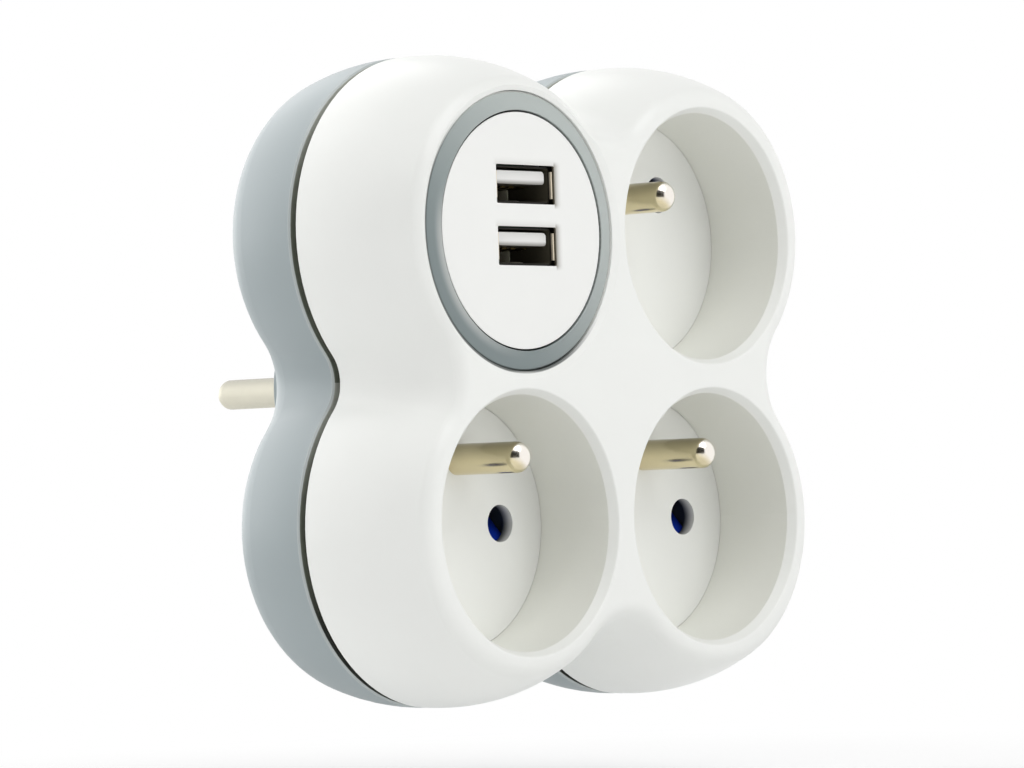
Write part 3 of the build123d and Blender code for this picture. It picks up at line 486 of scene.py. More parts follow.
@dataclass(frozen=True)
class SeamPlastic(MouldedPlastic):
    """The rear's plastic, with a painted highlight on its edge, and painted shade in the groove under the
    cover that turns to painted light on top.
    """

    edge: float = -35.86 * MM
    edge_blur: float = 0.02 * MM
    # Painted shade in the groove, painted light where it faces up and deeper painted shade under the lower
    # lobes.
    groove: Colour = (0.125, 0.137, 0.107)
    groove_top_light: Colour = (0.42, 0.43, 0.39)
    groove_under_shade: Colour = (0.03, 0.031, 0.025)
    lobe_offset: float = WELL_OFFSET
    lobe_reach: float = 26.0 * MM
    under_from: float = -28.0 * MM
    under_to: float = -38.0 * MM
    # A painted highlight along the rounded edge of the housing.
    painted_highlight: Colour = (0.46, 0.50, 0.50)
    highlight_width: float = 0.45 * MM
    highlight_core: float = 0.5

    def tone(self, sheet: Sheet, place: Wire) -> Wire:
        """Draws the drift of the colour, the painted shade and light of the groove and the painted highlight
        on the edge.

        Args:
            sheet: the material's node tree.
            place: the point on the piece.

        Returns:
            The base colour.
        """
        depth = sheet.along(place, Axis.DEPTH)
        # Before the edge, in the groove, painted shade; just past it, a painted highlight, then the
        # housing's own colour.
        open_air = sheet.past(depth, self.edge, self.edge_blur)
        inner = sheet.step(depth, self.edge + self.highlight_core * self.highlight_width, self.edge + self.highlight_width)
        outer = sheet.blend(inner, self.painted_highlight, super().tone(sheet, place))
        up = sheet.along(place, Axis.UP)
        lobe_height = up - sheet.maths("SIGN", up) * self.lobe_offset
        groove = sheet.blend(sheet.step(lobe_height, 0.0, self.lobe_reach), self.groove, self.groove_top_light)
        groove = sheet.blend(sheet.step(up, self.under_to, self.under_from), self.groove_under_shade, groove)
        return sheet.blend(open_air, groove, outer)


@dataclass(frozen=True)
class RingPlastic(MouldedPlastic):
    """The ring's plastic, with painted light towards the upper right, painted highlight and shade along its
    edges, and painted shade in its bore.
    """

    lit_side_tone: Colour = (0.43, 0.47, 0.455)
    centre: float = WELL_OFFSET
    spread: float = 24.0 * MM
    bore_radius: float = 18.21 * MM
    bore_edge: float = 0.05 * MM
    bore_shade: Colour = (0.012, 0.012, 0.01)
    strip_from: float = 18.5 * MM
    strip_to: float = 19.8 * MM
    strip_highlight: Colour = (0.46, 0.48, 0.47)
    strip_share: float = 0.85
    strip_left: tuple[float, float] = (-17.0 * MM, 2.0 * MM)
    strip_low: tuple[float, float] = (-2.0 * MM, 9.0 * MM)
    edge_from: float = 20.9 * MM
    edge_to: float = 21.12 * MM
    edge_shade: Colour = (0.10, 0.115, 0.112)
    edge_light: Colour = (0.72, 0.73, 0.71)
    edge_turn: tuple[float, float] = (-10.0 * MM, 12.0 * MM)

    def tone(self, sheet: Sheet, place: Wire) -> Wire:
        """Draws the drift of the colour, the painted light on one side, the painted highlight of the inner
        strip, the painted shade and light of the outer edge and the painted shade of the bore.

        Args:
            sheet: the material's node tree.
            place: the point on the piece.

        Returns:
            The base colour.
        """
        across = sheet.along(place, Axis.ACROSS) + self.centre
        up = sheet.along(place, Axis.UP) - self.centre
        # Painted light: paler towards the upper right, the side that faces the light.
        far = sheet.step(across + up, -self.spread, self.spread)
        face = sheet.blend(far, super().tone(sheet, place), self.lit_side_tone)
        radius = sheet.radius(across, up)
        # Painted highlight on the inner strip, low on the left.
        painted_highlight = 1.0 - sheet.step(radius, self.strip_from, self.strip_to)
        painted_highlight = painted_highlight * (1.0 - sheet.step(across, *self.strip_left)) * (1.0 - sheet.step(up, *self.strip_low))
        face = sheet.blend(painted_highlight * self.strip_share, face, self.strip_highlight)
        # Painted shade on the outer edge at the lower left, and painted light on it at the upper right.
        edge = sheet.blend(sheet.step(across + up, *self.edge_turn), self.edge_shade, self.edge_light)
        face = sheet.blend(sheet.step(radius, self.edge_from, self.edge_to), face, edge)
        # Painted shade on the wall of the bore.
        outside = sheet.step(radius, self.bore_radius, self.bore_radius + self.bore_edge)
        return sheet.blend(outside, self.bore_shade, face)


@dataclass(frozen=True)
class WorkedMetal(Finish):
    """Plated or bare metal with fine tool lines and a cloudy sheen."""

    gloss: float = 0.2
    ior: float = 1.5
    bare: float = 1.0
    smudge: float = 0.12
    lines: Point = (90.0, 2600.0, 90.0)
    line_depth: float = 1.2e-6
    tarnish: float = 0.12
    tarnish_scale: float = 420.0
    tarnish_detail: float = 3.0

    def tone(self, sheet: Sheet, place: Wire) -> Wire:
        """Draws the cloudy colour."""
        cloud = sheet.noise(place, self.tarnish_scale, self.tarnish_detail)
        return sheet.blend(cloud, scaled(self.colour, 1 - self.tarnish), self.colour)

    def metal(self, sheet: Sheet, place: Wire) -> Feed:
        """How much of the surface is bare metal."""
        return self.bare

    def shade(self, sheet: Sheet) -> Wire:
        """Draws the sheen and the tool lines.

        Args:
            sheet: the material's node tree.

        Returns:
            The surface shader.
        """
        place = sheet.place()
        lines = sheet.noise(sheet.stretched(place, self.lines), scale=1.0)
        sockets = {
            "Base Color": self.tone(sheet, place),
            "Metallic": self.metal(sheet, place),
            "IOR": self.ior,
            "Roughness": self.gloss + (lines - NOISE_MIDDLE) * self.smudge,
            "Normal": sheet.bump(lines, self.line_depth),
        }
        return sheet.node("ShaderNodeBsdfPrincipled", {}, sockets)


@dataclass(frozen=True)
class PinMetal(WorkedMetal):
    """Plating of a round pin, with painted shade on its upper side and a painted highlight on the front of
    its tip.
    """

    across: float = 0.0
    level: float = 0.0
    radius: float = 2.4 * MM
    # Painted shade on the upper side, and a painted highlight on the upper right of the tip's front.
    upper_shade: float = 0.47
    upper_shade_low: float = -0.5 * MM
    tip_from: float = -56.1 * MM
    tip_blur: float = 0.15 * MM
    tip: Colour = (0.94, 0.895, 0.83)
    tip_lean: float = 0.7
    tip_low: float = -2.2 * MM
    tip_high: float = -0.6 * MM

    def tone(self, sheet: Sheet, place: Wire) -> Wire:
        """Draws the cloudy colour, the painted shade of its upper side and the painted highlight on its tip.

        Args:
            sheet: the material's node tree.
            place: the point on the piece.

        Returns:
            The base colour.
        """
        up = sheet.along(place, Axis.UP) - self.level
        # Painted shade on the upper side of the pin.
        upper = sheet.step(up, self.upper_shade_low, self.radius)
        shank = sheet.blend(upper, super().tone(sheet, place), scaled(self.colour, self.upper_shade))
        # Painted highlight on the upper right of the tip's front.
        behind = sheet.past(sheet.along(place, Axis.DEPTH), self.tip_from, self.tip_blur)
        lean = up + (sheet.along(place, Axis.ACROSS) - self.across) * self.tip_lean
        painted_highlight = (1.0 - behind) * sheet.step(lean, self.tip_low, self.tip_high)
        return sheet.blend(painted_highlight, shank, self.tip)


@dataclass(frozen=True)
class ShellMetal(WorkedMetal):
    """Drawn steel of a port, bright on its side flaps, with painted shade elsewhere that is darkest at the
    rim.
    """

    centre: float = PORT_ACROSS
    flap_reach: float = 6.16 * MM
    flap_root: float = -57.12 * MM
    flap_blur: float = 0.12 * MM
    flap_bare: float = 0.3
    rim_depth: float = -56.9 * MM
    rim_blur: float = 0.08 * MM
    # Painted shade: darkest at the rim, a little lighter deeper within the shell.
    rim: Colour = (0.008, 0.007, 0.005)
    dark: Colour = (0.075, 0.068, 0.048)

    def flap(self, sheet: Sheet, place: Wire) -> Wire:
        """One on the side flaps and none elsewhere.

        Args:
            sheet: the material's node tree.
            place: the point on the piece.

        Returns:
            The share.
        """
        reach = abs(sheet.along(place, Axis.ACROSS) - self.centre)
        beside = sheet.past(reach, self.flap_reach, self.flap_blur)
        return beside * (1.0 - sheet.past(sheet.along(place, Axis.DEPTH), self.flap_root, self.flap_blur))

    def tone(self, sheet: Sheet, place: Wire) -> Wire:
        """Draws the cloudy colour of the flaps, the painted shade within the shell and the darker painted
        shade of its rim.

        Args:
            sheet: the material's node tree.
            place: the point on the piece.

        Returns:
            The base colour.
        """
        within = sheet.past(sheet.along(place, Axis.DEPTH), self.rim_depth, self.rim_blur)
        inside_shade = sheet.blend(within, self.rim, self.dark)
        return sheet.blend(self.flap(sheet, place), inside_shade, super().tone(sheet, place))

    def metal(self, sheet: Sheet, place: Wire) -> Feed:
        """Partly bare metal on the flaps."""
        return self.flap(sheet, place) * self.flap_bare


WHITE_COVER = CoverPlastic("white_cover", (0.85, 0.86, 0.835))
# The holes of the floors are painted in shade.
WHITE_FLOOR = FloorPlastic(
    "white_floor", (0.862, 0.869, 0.839), gloss=0.42,
    dark_from=-43.0 * MM, dark_depth=2.2 * MM, dark=(0.036, 0.044, 0.05),
)
# The walls of the disc's port mouths are painted in shade.
WHITE_DISC = PlatePlastic(
    "white_disc", (0.855, 0.86, 0.84), gloss=0.36, dark_from=-57.66 * MM, dark_depth=0.12 * MM
)
GREY_REAR = SeamPlastic("grey_rear", (0.31, 0.358, 0.37), gloss=0.42, ior=1.6, drift=0.03)
GREY_RING = RingPlastic("grey_ring", (0.20, 0.24, 0.243), gloss=0.42, drift=0.03)
GREY_PLUG = MouldedPlastic("grey_plug", (0.32, 0.37, 0.382), gloss=0.46, grain_depth=4.0e-6)
BLUE_SHUTTER = MouldedPlastic("blue_shutter", (0.005, 0.034, 0.42), gloss=0.4, ior=1.3)
DARK_CARRIER = MouldedPlastic("dark_carrier", (0.012, 0.012, 0.014), gloss=0.5, ior=1.3)
GREEN_BOARD = MouldedPlastic("green_board", (0.03, 0.16, 0.07), gloss=0.45, drift=0.1)
FERRITE_CORE = MouldedPlastic("ferrite_core", (0.05, 0.05, 0.055), gloss=0.6, grain_depth=9.0e-6)
BROWN_SLEEVE = MouldedPlastic("brown_sleeve", (0.16, 0.07, 0.03), gloss=0.5)
BLUE_SLEEVE = MouldedPlastic("blue_sleeve", (0.03, 0.09, 0.34), gloss=0.5)
# The plug pins get painted shade on their upper side.
PALE_NICKEL = PinMetal(
    "pale_nickel", (0.80, 0.77, 0.65), gloss=0.5, bare=0.75, upper_shade=0.42, upper_shade_low=-0.4 * MM
)
BRASS = WorkedMetal("brass", (0.74, 0.55, 0.25), gloss=0.28, lines=(900.0, 900.0, 90.0))
PORT_STEEL = ShellMetal(
    "port_steel", (0.90, 0.80, 0.62), gloss=0.3, ior=1.25, lines=(2200.0, 90.0, 2200.0)
)
SCREW_STEEL = WorkedMetal("screw_steel", (0.58, 0.58, 0.57), gloss=0.3)
SPRING_STEEL = WorkedMetal("spring_steel", (0.55, 0.55, 0.55), gloss=0.26, lines=(1200.0, 1200.0, 1200.0))
LEAF_STEEL = MouldedPlastic("leaf_steel", (0.88, 0.87, 0.68), gloss=0.4, drift=0.06)
CONTACT_GILT = WorkedMetal("contact_gilt", (0.30, 0.22, 0.08), gloss=0.26, lines=(2200.0, 90.0, 2200.0))
CAN_METAL = WorkedMetal("can_metal", (0.62, 0.64, 0.67), gloss=0.32)


class Shape:
    """A mesh that grows from a loop of edges, one operator after another."""

    def __init__(self) -> None:
        """Starts empty, with no loop to grow from."""
        self.mesh = bmesh.new()
        self.loop: list[bmesh.types.BMEdge] = []

    def ring(self, radius: float, sides: int, matrix: Matrix) -> None:
        """Starts a new round loop of edges.

        Args:
            radius: its radius.
            sides: number of its edges.
            matrix: its place.
        """
        made = bmesh.ops.create_circle(
            self.mesh, cap_ends=False, radius=radius, segments=sides, matrix=matrix
        )
        self.loop = list({edge for vert in made["verts"] for edge in vert.link_edges})

    def bar(self, start: Point, end: Point) -> None:
        """Starts a new loop that is a single edge."""
        ends = [bmesh.ops.create_vert(self.mesh, co=point)["vert"][0] for point in (start, end)]
        self.loop = bmesh.ops.contextual_create(self.mesh, geom=ends)["edges"]

    def grow(self, shift: Point = (0.0, 0.0, 0.0), spread: float = 1.0) -> None:
        """Pulls a band of faces out of the loop and goes on from its far edge.

        Args:
            shift: how far the far edge moves.
            spread: how much wider than the loop it is, about the Z axis.
        """
        made = bmesh.ops.extrude_edge_only(self.mesh, edges=self.loop)["geom"]
        verts = [item for item in made if isinstance(item, bmesh.types.BMVert)]
        self.loop = [
            item for item in made
            if isinstance(item, bmesh.types.BMEdge) and all(vert in verts for vert in item.verts)
        ]
        bmesh.ops.scale(self.mesh, vec=(spread, spread, 1.0), verts=verts)
        bmesh.ops.translate(self.mesh, vec=shift, verts=verts)

    def wind(self, turns: float, pitch: float, steps_per_turn: int) -> None:
        """Winds the loop up about the Z axis and goes on from its last place.

        Args:
            turns: number of turns.
            pitch: rise in one turn.
            steps_per_turn: steps in one turn.
        """
        made = bmesh.ops.spin(
            self.mesh,
            geom=self.loop + list({vert for edge in self.loop for vert in edge.verts}),
            cent=(0.0, 0.0, 0.0),
            axis=(0.0, 0.0, 1.0),
            dvec=(0.0, 0.0, pitch / steps_per_turn),
            angle=2 * math.pi * turns,
            steps=round(turns * steps_per_turn),
        )
        self.loop = [item for item in made["geom_last"] if isinstance(item, bmesh.types.BMEdge)]

    def close(self) -> None:
        """Fills every open loop that is left."""
        rims = [edge for edge in self.mesh.edges if edge.is_boundary]
        bmesh.ops.holes_fill(self.mesh, edges=rims, sides=0)

    def thicken(self, thickness: float) -> None:
        """Gives the sheet a thickness."""
        bmesh.ops.recalc_face_normals(self.mesh, faces=self.mesh.faces)
        bmesh.ops.solidify(self.mesh, geom=self.mesh.faces[:], thickness=thickness)

    def move(self, matrix: Matrix) -> None:
        """Puts the whole shape in its place."""
        bmesh.ops.transform(self.mesh, matrix=matrix, verts=self.mesh.verts)

    def join(self, other: "Shape") -> None:
        """Takes over the other shape, which is used up.

        Args:
            other: the shape to take over.
        """
        spare = bpy.data.meshes.new("spare")
        other.mesh.to_mesh(spare)
        other.mesh.free()
        self.mesh.from_mesh(spare)
        bpy.data.meshes.remove(spare)

    def piece(self, name: str, finish: Finish, slot: str, smooth: bool = True) -> bpy.types.Object:
        """Turns the shape into a piece of the adaptor. The shape is used up.

        Args:
            name: the piece's name.
            finish: what it is made of.
            slot: the record's material slot; not used.
            smooth: whether its faces shade as one surface.

        Returns:
            The new object, riding on the adaptor.
        """
        bmesh.ops.remove_doubles(self.mesh, verts=self.mesh.verts, dist=MERGE_REACH)
        bmesh.ops.recalc_face_normals(self.mesh, faces=self.mesh.faces)
        for face in self.mesh.faces:
            face.smooth = smooth
        mesh = bpy.data.meshes.new(name)
        self.mesh.to_mesh(mesh)
        self.mesh.free()
        mesh.materials.append(finish.material())
        piece = bpy.data.objects.new(name, mesh)
        bpy.context.scene.collection.objects.link(piece)
        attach(piece, MAIN_BODY)
        LOG.info("%s: %d faces", name, len(mesh.polygons))
        return piece


def standing(place: Point) -> Matrix:
    """The place of a round loop that stands upright and faces along Y."""
    return Matrix.Translation(place) @ Matrix.Rotation(math.pi / 2, 4, "X")


class Assembly:
    """A sub-assembly of the adaptor: solids with their finishes, and pieces of its own if it has some."""

    def finishes(self) -> dict[str, Finish]:
        """The finish of each of its solids, by node."""
        raise NotImplementedError

    def dress(self) -> None:
        """Gives its solids their finishes."""
        for node, finish in self.finishes().items():
            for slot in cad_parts[node].material_slots:
                slot.material = finish.material()
            LOG.info("%s: %s", node, finish.name)

    def build(self) -> None:
        """Makes its own pieces. A sub-assembly that keeps all its solids has none."""


@dataclass
class Casing(Assembly):
    """White front cover and grey rear housing, held by screws at the waists."""

    screw_count: int = 4
    screw_reach: float = 33.49 * MM
    screw_seat: float = -24.0 * MM
    first_turn: float = 0.4
    next_turn: float = 1.1
    head_radius: float = 2.75 * MM
    head_height: float = 1.8 * MM
    crown_radius: float = 1.75 * MM
    crown_steps: tuple[tuple[float, float], ...] = ((0.13 * MM, 0.45), (0.27 * MM, 0.33), (0.4 * MM, 0.22))
    cross_cells: int = 3
    cross_length: float = 2.7 * MM
    cross_width: float = 0.62 * MM
    cross_depth: float = 1.15 * MM
    cross_taper: float = 0.62
    shank_radius: float = 1.15 * MM
    shank_length: float = 18.9 * MM
    point_length: float = 2.0 * MM
    point_taper: float = 0.15
    thread_radius: float = 1.4 * MM
    thread_pitch: float = 1.1 * MM
    thread_length: float = 14.0 * MM
    thread_start: float = 1.0 * MM
    thread_sides: int = 3
    thread_steps: int = 24
    sides: int = 48

    def cross(self, shape: Shape) -> None:
        """Cuts the tapered cross recess and leaves its rim as the loop to grow from.

        Args:
            shape: the screw's empty shape.
        """
        grid = bmesh.ops.create_grid(
            shape.mesh, x_segments=self.cross_cells, y_segments=self.cross_cells,
            size=self.cross_length / 2, matrix=Matrix.Translation((0.0, 0.0, self.head_height)),
        )["verts"]
        slim = self.cross_cells * self.cross_width / self.cross_length
        # The inner lines of the grid lie nearer to the middle than this, and its border further out.
        between = self.cross_length / 4
        for axis, vec in enumerate(((slim, 1.0, 1.0), (1.0, slim, 1.0))):
            inner = [vert for vert in grid if abs(vert.co[axis]) < between]
            bmesh.ops.scale(shape.mesh, vec=vec, verts=inner)
        corners = [
            face for face in shape.mesh.faces
            if min(abs(part) for part in face.calc_center_median().xy) > self.cross_width
        ]
        bmesh.ops.delete(shape.mesh, geom=corners, context="FACES")
        rim = [edge for edge in shape.mesh.edges if edge.is_boundary]
        pit = bmesh.ops.extrude_face_region(shape.mesh, geom=shape.mesh.faces[:])["geom"]
        floor = [item for item in pit if isinstance(item, bmesh.types.BMVert)]
        bmesh.ops.scale(shape.mesh, vec=(self.cross_taper, self.cross_taper, 1.0), verts=floor)
        bmesh.ops.translate(shape.mesh, vec=(0.0, 0.0, -self.cross_depth), verts=floor)
        top = self.head_height - LEVEL_REACH
        lids = [face for face in shape.mesh.faces if face.calc_center_median().z > top]
        bmesh.ops.delete(shape.mesh, geom=lids, context="FACES_ONLY")
        shape.loop = rim

    def screw(self) -> Shape:
        """One screw, with its head's seat at the origin and its head towards +Z.

        Returns:
            The closed shape.
        """
        shape = Shape()
        self.cross(shape)
        rim = shape.loop
        shape.ring(self.crown_radius, self.sides, Matrix.Translation((0.0, 0.0, self.head_height)))
        crown = shape.loop
        bmesh.ops.bridge_loops(shape.mesh, edges=rim + crown)
        shape.loop = crown
        widening = self.head_radius / self.crown_radius
        for drop, share in self.crown_steps:
            shape.grow((0.0, 0.0, -drop), widening**share)
        dome = sum(drop for drop, _ in self.crown_steps)
        shape.grow((0.0, 0.0, dome - self.head_height))
        shape.grow(spread=self.shank_radius / self.head_radius)
        shape.grow((0.0, 0.0, self.point_length - self.shank_length))
        shape.grow((0.0, 0.0, -self.point_length), self.point_taper)
        shape.close()
        thread = Shape()
        start = standing((self.shank_radius, 0.0, self.thread_start - self.shank_length))
        thread.ring(self.thread_radius - self.shank_radius, self.thread_sides, start)
        thread.wind(self.thread_length / self.thread_pitch, self.thread_pitch, self.thread_steps)
        thread.close()
        shape.join(thread)
        return shape

    def build(self) -> None:
        """Makes the screws."""
        screws = Shape()
        outward = Matrix.Rotation(-math.pi / 2, 4, "X")
        for index in range(self.screw_count):
            angle = 2 * math.pi * index / self.screw_count
            place = (self.screw_reach * math.cos(angle), self.screw_seat, self.screw_reach * math.sin(angle))
            spin = Matrix.Rotation(self.first_turn + self.next_turn * index, 4, "Z")
            screw = self.screw()
            screw.move(Matrix.Translation(place) @ outward @ spin)
            screws.join(screw)
        piece = screws.piece("case_screws", SCREW_STEEL, "port_steel", smooth=False)
        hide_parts("housing_screws")

    def finishes(self) -> dict[str, Finish]:
        """The finishes of both halves, by node."""
        return {"front_cover": WHITE_COVER, "rear_housing": GREY_REAR}


@dataclass
class Outlet(Assembly):
    """One earthed outlet: its floor, earth pin, shutter and shutter spring."""

    name: str
    centre: tuple[float, float]
    turn: float = 0.0
    spring_level: float = -36.2 * MM
    stop_reach: float = 15.0 * MM
    shutter_edge: float = 3.4 * MM
    shutter_travel: float = 6.4 * MM
    pin_offset: float = 10.0 * MM
    pin_colour: Colour = (0.79, 0.695, 0.455)
    coil_radius: float = 1.6 * MM
    wire_radius: float = 0.26 * MM
    wire_sides: int = 10
    end_pitch: float = 0.54 * MM
    end_turns: int = 1
    working_turns: int = 5
    steps_per_turn: int = 28

    def slide(self) -> Vector:
        """The way that the shutter slides to open."""
        angle = math.radians(self.turn)
        return Vector((math.sin(angle), 0.0, -math.cos(angle)))

    def build(self) -> None:
        """Winds the spring that holds the shutter closed."""
        slide = self.slide()
        stop = Vector((self.centre[0], self.spring_level, self.centre[1])) + self.stop_reach * slide
        rest = self.stop_reach - self.shutter_edge
        working_length = rest - 2 * self.wire_radius - 2 * self.end_turns * self.end_pitch
        end = (self.end_turns, self.end_pitch)
        working = (self.working_turns, working_length / self.working_turns)
        shape = Shape()
        shape.ring(self.wire_radius, self.wire_sides, standing((self.coil_radius, 0.0, self.wire_radius)))
        for turns, pitch in (end, working, end):
            shape.wind(turns, pitch, self.steps_per_turn)
        shape.close()
        shape.move(Matrix.Translation(stop) @ (-slide).to_track_quat("Z", "Y").to_matrix().to_4x4())
        spring = shape.piece(f"spring_{self.name}", SPRING_STEEL, "port_steel")
        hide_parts(f"shutter_spring_{self.name}")
        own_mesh(spring)

    def finishes(self) -> dict[str, Finish]:
        """Chooses the finishes of the outlet, with the plating of its own earth pin.

        Returns:
            The finish of each node.
        """
        away = self.pin_offset * self.slide()
        across, level = self.centre[0] - away.x, self.centre[1] - away.z
        pin = PinMetal(f"pin_{self.name}", self.pin_colour, across=across, level=level)
        return {
            f"socket_floor_{self.name}": WHITE_FLOOR,
            f"earth_pin_{self.name}": pin,
            f"shutter_{self.name}": BLUE_SHUTTER,
        }


@dataclass(frozen=True)
class StripForm:
    """Strips of sheet metal that lie side by side in a port. Places and runs are in millimetres."""

    places: tuple[float, ...]
    width: float
    thickness: float
    foot: float
    level: float
    runs: tuple[Point, ...]


@dataclass
class UsbPort(Assembly):
    """One USB port: its contact blades, the leaves of its shell's floor and sides, and its tongue."""

    name: str
    level: float
    across: float = PORT_ACROSS
    tongue_colour: Colour = (0.84, 0.84, 0.82)
    tongue_gloss: float = 0.4
    # The tongue is painted in shade from this depth on, into the port.
    tongue_dark: float = -56.45 * MM
    tongue_depth: float = 0.5 * MM
    blades: StripForm = StripForm(
        places=(-3.5, -1.0, 1.0, 3.5), width=1.0 * MM, thickness=0.2 * MM, foot=-47.05 * MM, level=0.02 * MM,
        runs=(
            (0.0, -2.6, -0.02), (0.0, -0.9, -0.05), (0.0, -0.8, -0.08), (0.0, -0.6, -0.07),
            (0.0, -0.5, -0.02), (0.0, -0.4, 0.03), (0.0, -0.5, 0.07), (0.0, -0.6, 0.1),
        ),
    )
    leaves: StripForm = StripForm(
        places=(-3.1, 3.1), width=2.3 * MM, thickness=0.22 * MM, foot=-47.5 * MM, level=-2.5 * MM,
        runs=(
            (0.0, -1.0, 0.03), (0.0, -1.2, 0.16), (0.0, -1.2, 0.2), (0.0, -0.8, 0.08),
            (0.0, -0.6, -0.04), (0.0, -0.7, -0.16), (0.0, -0.7, -0.2),
        ),
    )
    side_reach: float = 5.95 * MM
    side_low: float = -2.3 * MM
    side_high: float = -0.15 * MM
    side_foot: float = -45.0 * MM
    side_runs: tuple[Point, ...] = (
        (-0.02, -1.0, 0.0), (-0.08, -0.9, 0.0), (-0.08, -0.8, 0.0), (-0.02, -0.6, 0.0), (0.06, -0.5, 0.0),
    )

    def strip(self, start: Point, end: Point, runs: Sequence[Point], thickness: float) -> Shape:
        """A formed strip of sheet metal that runs towards the port's mouth.

        Args:
            start: one corner of its foot.
            end: the other corner of its foot.
            runs: its runs, in millimetres.
            thickness: thickness of the sheet.

        Returns:
            The closed shape.
        """
        shape = Shape()
        shape.bar(start, end)
        for run in runs:
            shape.grow(scaled(run, MM))
        shape.thicken(thickness)
        return shape

    def flat_strips(self, form: StripForm) -> Shape:
        """Strips that lie flat, side by side across the port.

        Args:
            form: their places and sizes.

        Returns:
            The closed shapes as one.
        """
        strips = Shape()
        level = self.level + form.level
        for place in form.places:
            middle = self.across + place * MM
            start = (middle - form.width / 2, form.foot, level)
            end = (middle + form.width / 2, form.foot, level)
            strips.join(self.strip(start, end, form.runs, form.thickness))
        return strips

    def side_strip(self, side: float) -> Shape:
        """A leaf that stands by one side wall.

        Args:
            side: -1 for the left wall and 1 for the right.

        Returns:
            The closed shape.
        """
        wall = self.across + side * self.side_reach
        start = (wall, self.side_foot, self.level + self.side_low)
        end = (wall, self.side_foot, self.level + self.side_high)
        runs = [(side * across, depth, up) for across, depth, up in self.side_runs]
        return self.strip(start, end, runs, self.leaves.thickness)

    def build(self) -> None:
        """Forms the contact blades and the leaves of the shell's floor and sides."""
        blades = self.flat_strips(self.blades)
        contacts = blades.piece(f"usb_{self.name}_blades", CONTACT_GILT, "contact_brass", smooth=False)
        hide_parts(f"usb_{self.name}_contacts")
        leaves = self.flat_strips(self.leaves)
        for side in (-1.0, 1.0):
            leaves.join(self.side_strip(side))
        leaves.piece(f"usb_{self.name}_leaves", LEAF_STEEL, "port_steel", smooth=False)

    def finishes(self) -> dict[str, Finish]:
        """Chooses the finishes of the shell and of its own tongue.

        Returns:
            The finish of each node.
        """
        tongue = TonguePlastic(
            f"tongue_{self.name}", self.tongue_colour, gloss=self.tongue_gloss,
            dark_from=self.tongue_dark, dark_depth=self.tongue_depth, level=self.level,
        )
        return {f"usb_{self.name}_shell": PORT_STEEL, f"usb_{self.name}_tongue": tongue}


class UsbPanel(Assembly):
    """Grey ring and white disc around the ports, and the charger behind them."""

    def finishes(self) -> dict[str, Finish]:
        """Chooses the finishes of the panel and the charger.

        Returns:
            The finish of each node.
        """
        return {
            "usb_ring": GREY_RING,
            "usb_faceplate": WHITE_DISC,
            "usb_board": GREEN_BOARD,
            "usb_transformer": FERRITE_CORE,
            "usb_input_capacitor": CAN_METAL,
            "usb_output_capacitor": CAN_METAL,
            "usb_line_lead": BROWN_SLEEVE,
            "usb_neutral_lead": BLUE_SLEEVE,
        }


class WallPlug(Assembly):
    """Round plug with its two pins and its earth contact, and the metal that they feed."""

    def finishes(self) -> dict[str, Finish]:
        """Chooses the finishes of the plug and the conductors.

        Returns:
            The finish of each node.
        """
        return {
            "plug_body": GREY_PLUG,
            "plug_pin_left": PALE_NICKEL,
            "plug_pin_right": PALE_NICKEL,
            "plug_earth_contact": BRASS,
            "contact_carrier": DARK_CARRIER,
            "line_busbar": BRASS,
            "neutral_busbar": BRASS,
            "earth_strip": BRASS,
        }


@dataclass(frozen=True)
class SoftBox:
    """A square studio lamp with a wide, soft face, aimed at the adaptor."""

    name: str
    place: Point
    size: float
    watts: float
    mirrored: bool = True
    aim: Point = (0.0, -40.0 * MM, 0.0)

    def build(self) -> None:
        """Hangs the lamp and points it."""
        lamp = bpy.data.lights.new(self.name, "AREA")
        lamp.shape = "SQUARE"
        lamp.size = self.size
        lamp.energy = self.watts
        holder = bpy.data.objects.new(self.name, lamp)
        holder.location = self.place
        holder.visible_glossy = self.mirrored
        holder.rotation_mode = "QUATERNION"
        holder.rotation_quaternion = (Vector(self.aim) - Vector(self.place)).to_track_quat("-Z", "Y")
        bpy.context.scene.collection.objects.link(holder)


@dataclass(frozen=True)
class Viewpoint:
    """Where the photograph was taken from, about a point of the adaptor's axis."""

    azimuth: float = -48.578
    elevation: float = -1.323
    roll: float = 1.847
    distance: float = 781.498 * MM
    aside: float = -16.161 * MM
    above: float = -0.652 * MM
    depth: float = -56.8 * MM
    focal_pixels: float = 5061.631
    frame_pixels: float = 1024.0
    sensor: float = 36.0
    nearest: float = 10.0 * MM
    farthest: float = 50.0

    def build(self) -> None:
        """Makes the camera and gives it to the scene."""
        turn, rise, roll = (math.radians(angle) for angle in (self.azimuth, self.elevation, self.roll))
        back = Vector((math.sin(turn) * math.cos(rise), -math.cos(turn) * math.cos(rise), math.sin(rise)))
        right = Vector((math.cos(turn), math.sin(turn), 0.0))
        up = back.cross(right)
        across = math.cos(roll) * right - math.sin(roll) * up
        upward = math.sin(roll) * right + math.cos(roll) * up
        place = self.distance * back + self.aside * right + self.above * up
        lens = bpy.data.cameras.new("camera")
        lens.sensor_width = self.sensor
        lens.lens = self.focal_pixels / self.frame_pixels * self.sensor
        lens.clip_start = self.nearest
        lens.clip_end = self.farthest
        camera = bpy.data.objects.new("camera", lens)
        facing = Matrix((across, upward, back)).transposed().to_4x4()
        camera.matrix_world = Matrix.Translation(place + Vector((0.0, self.depth, 0.0))) @ facing
        bpy.context.scene.collection.objects.link(camera)
        bpy.context.scene.camera = camera


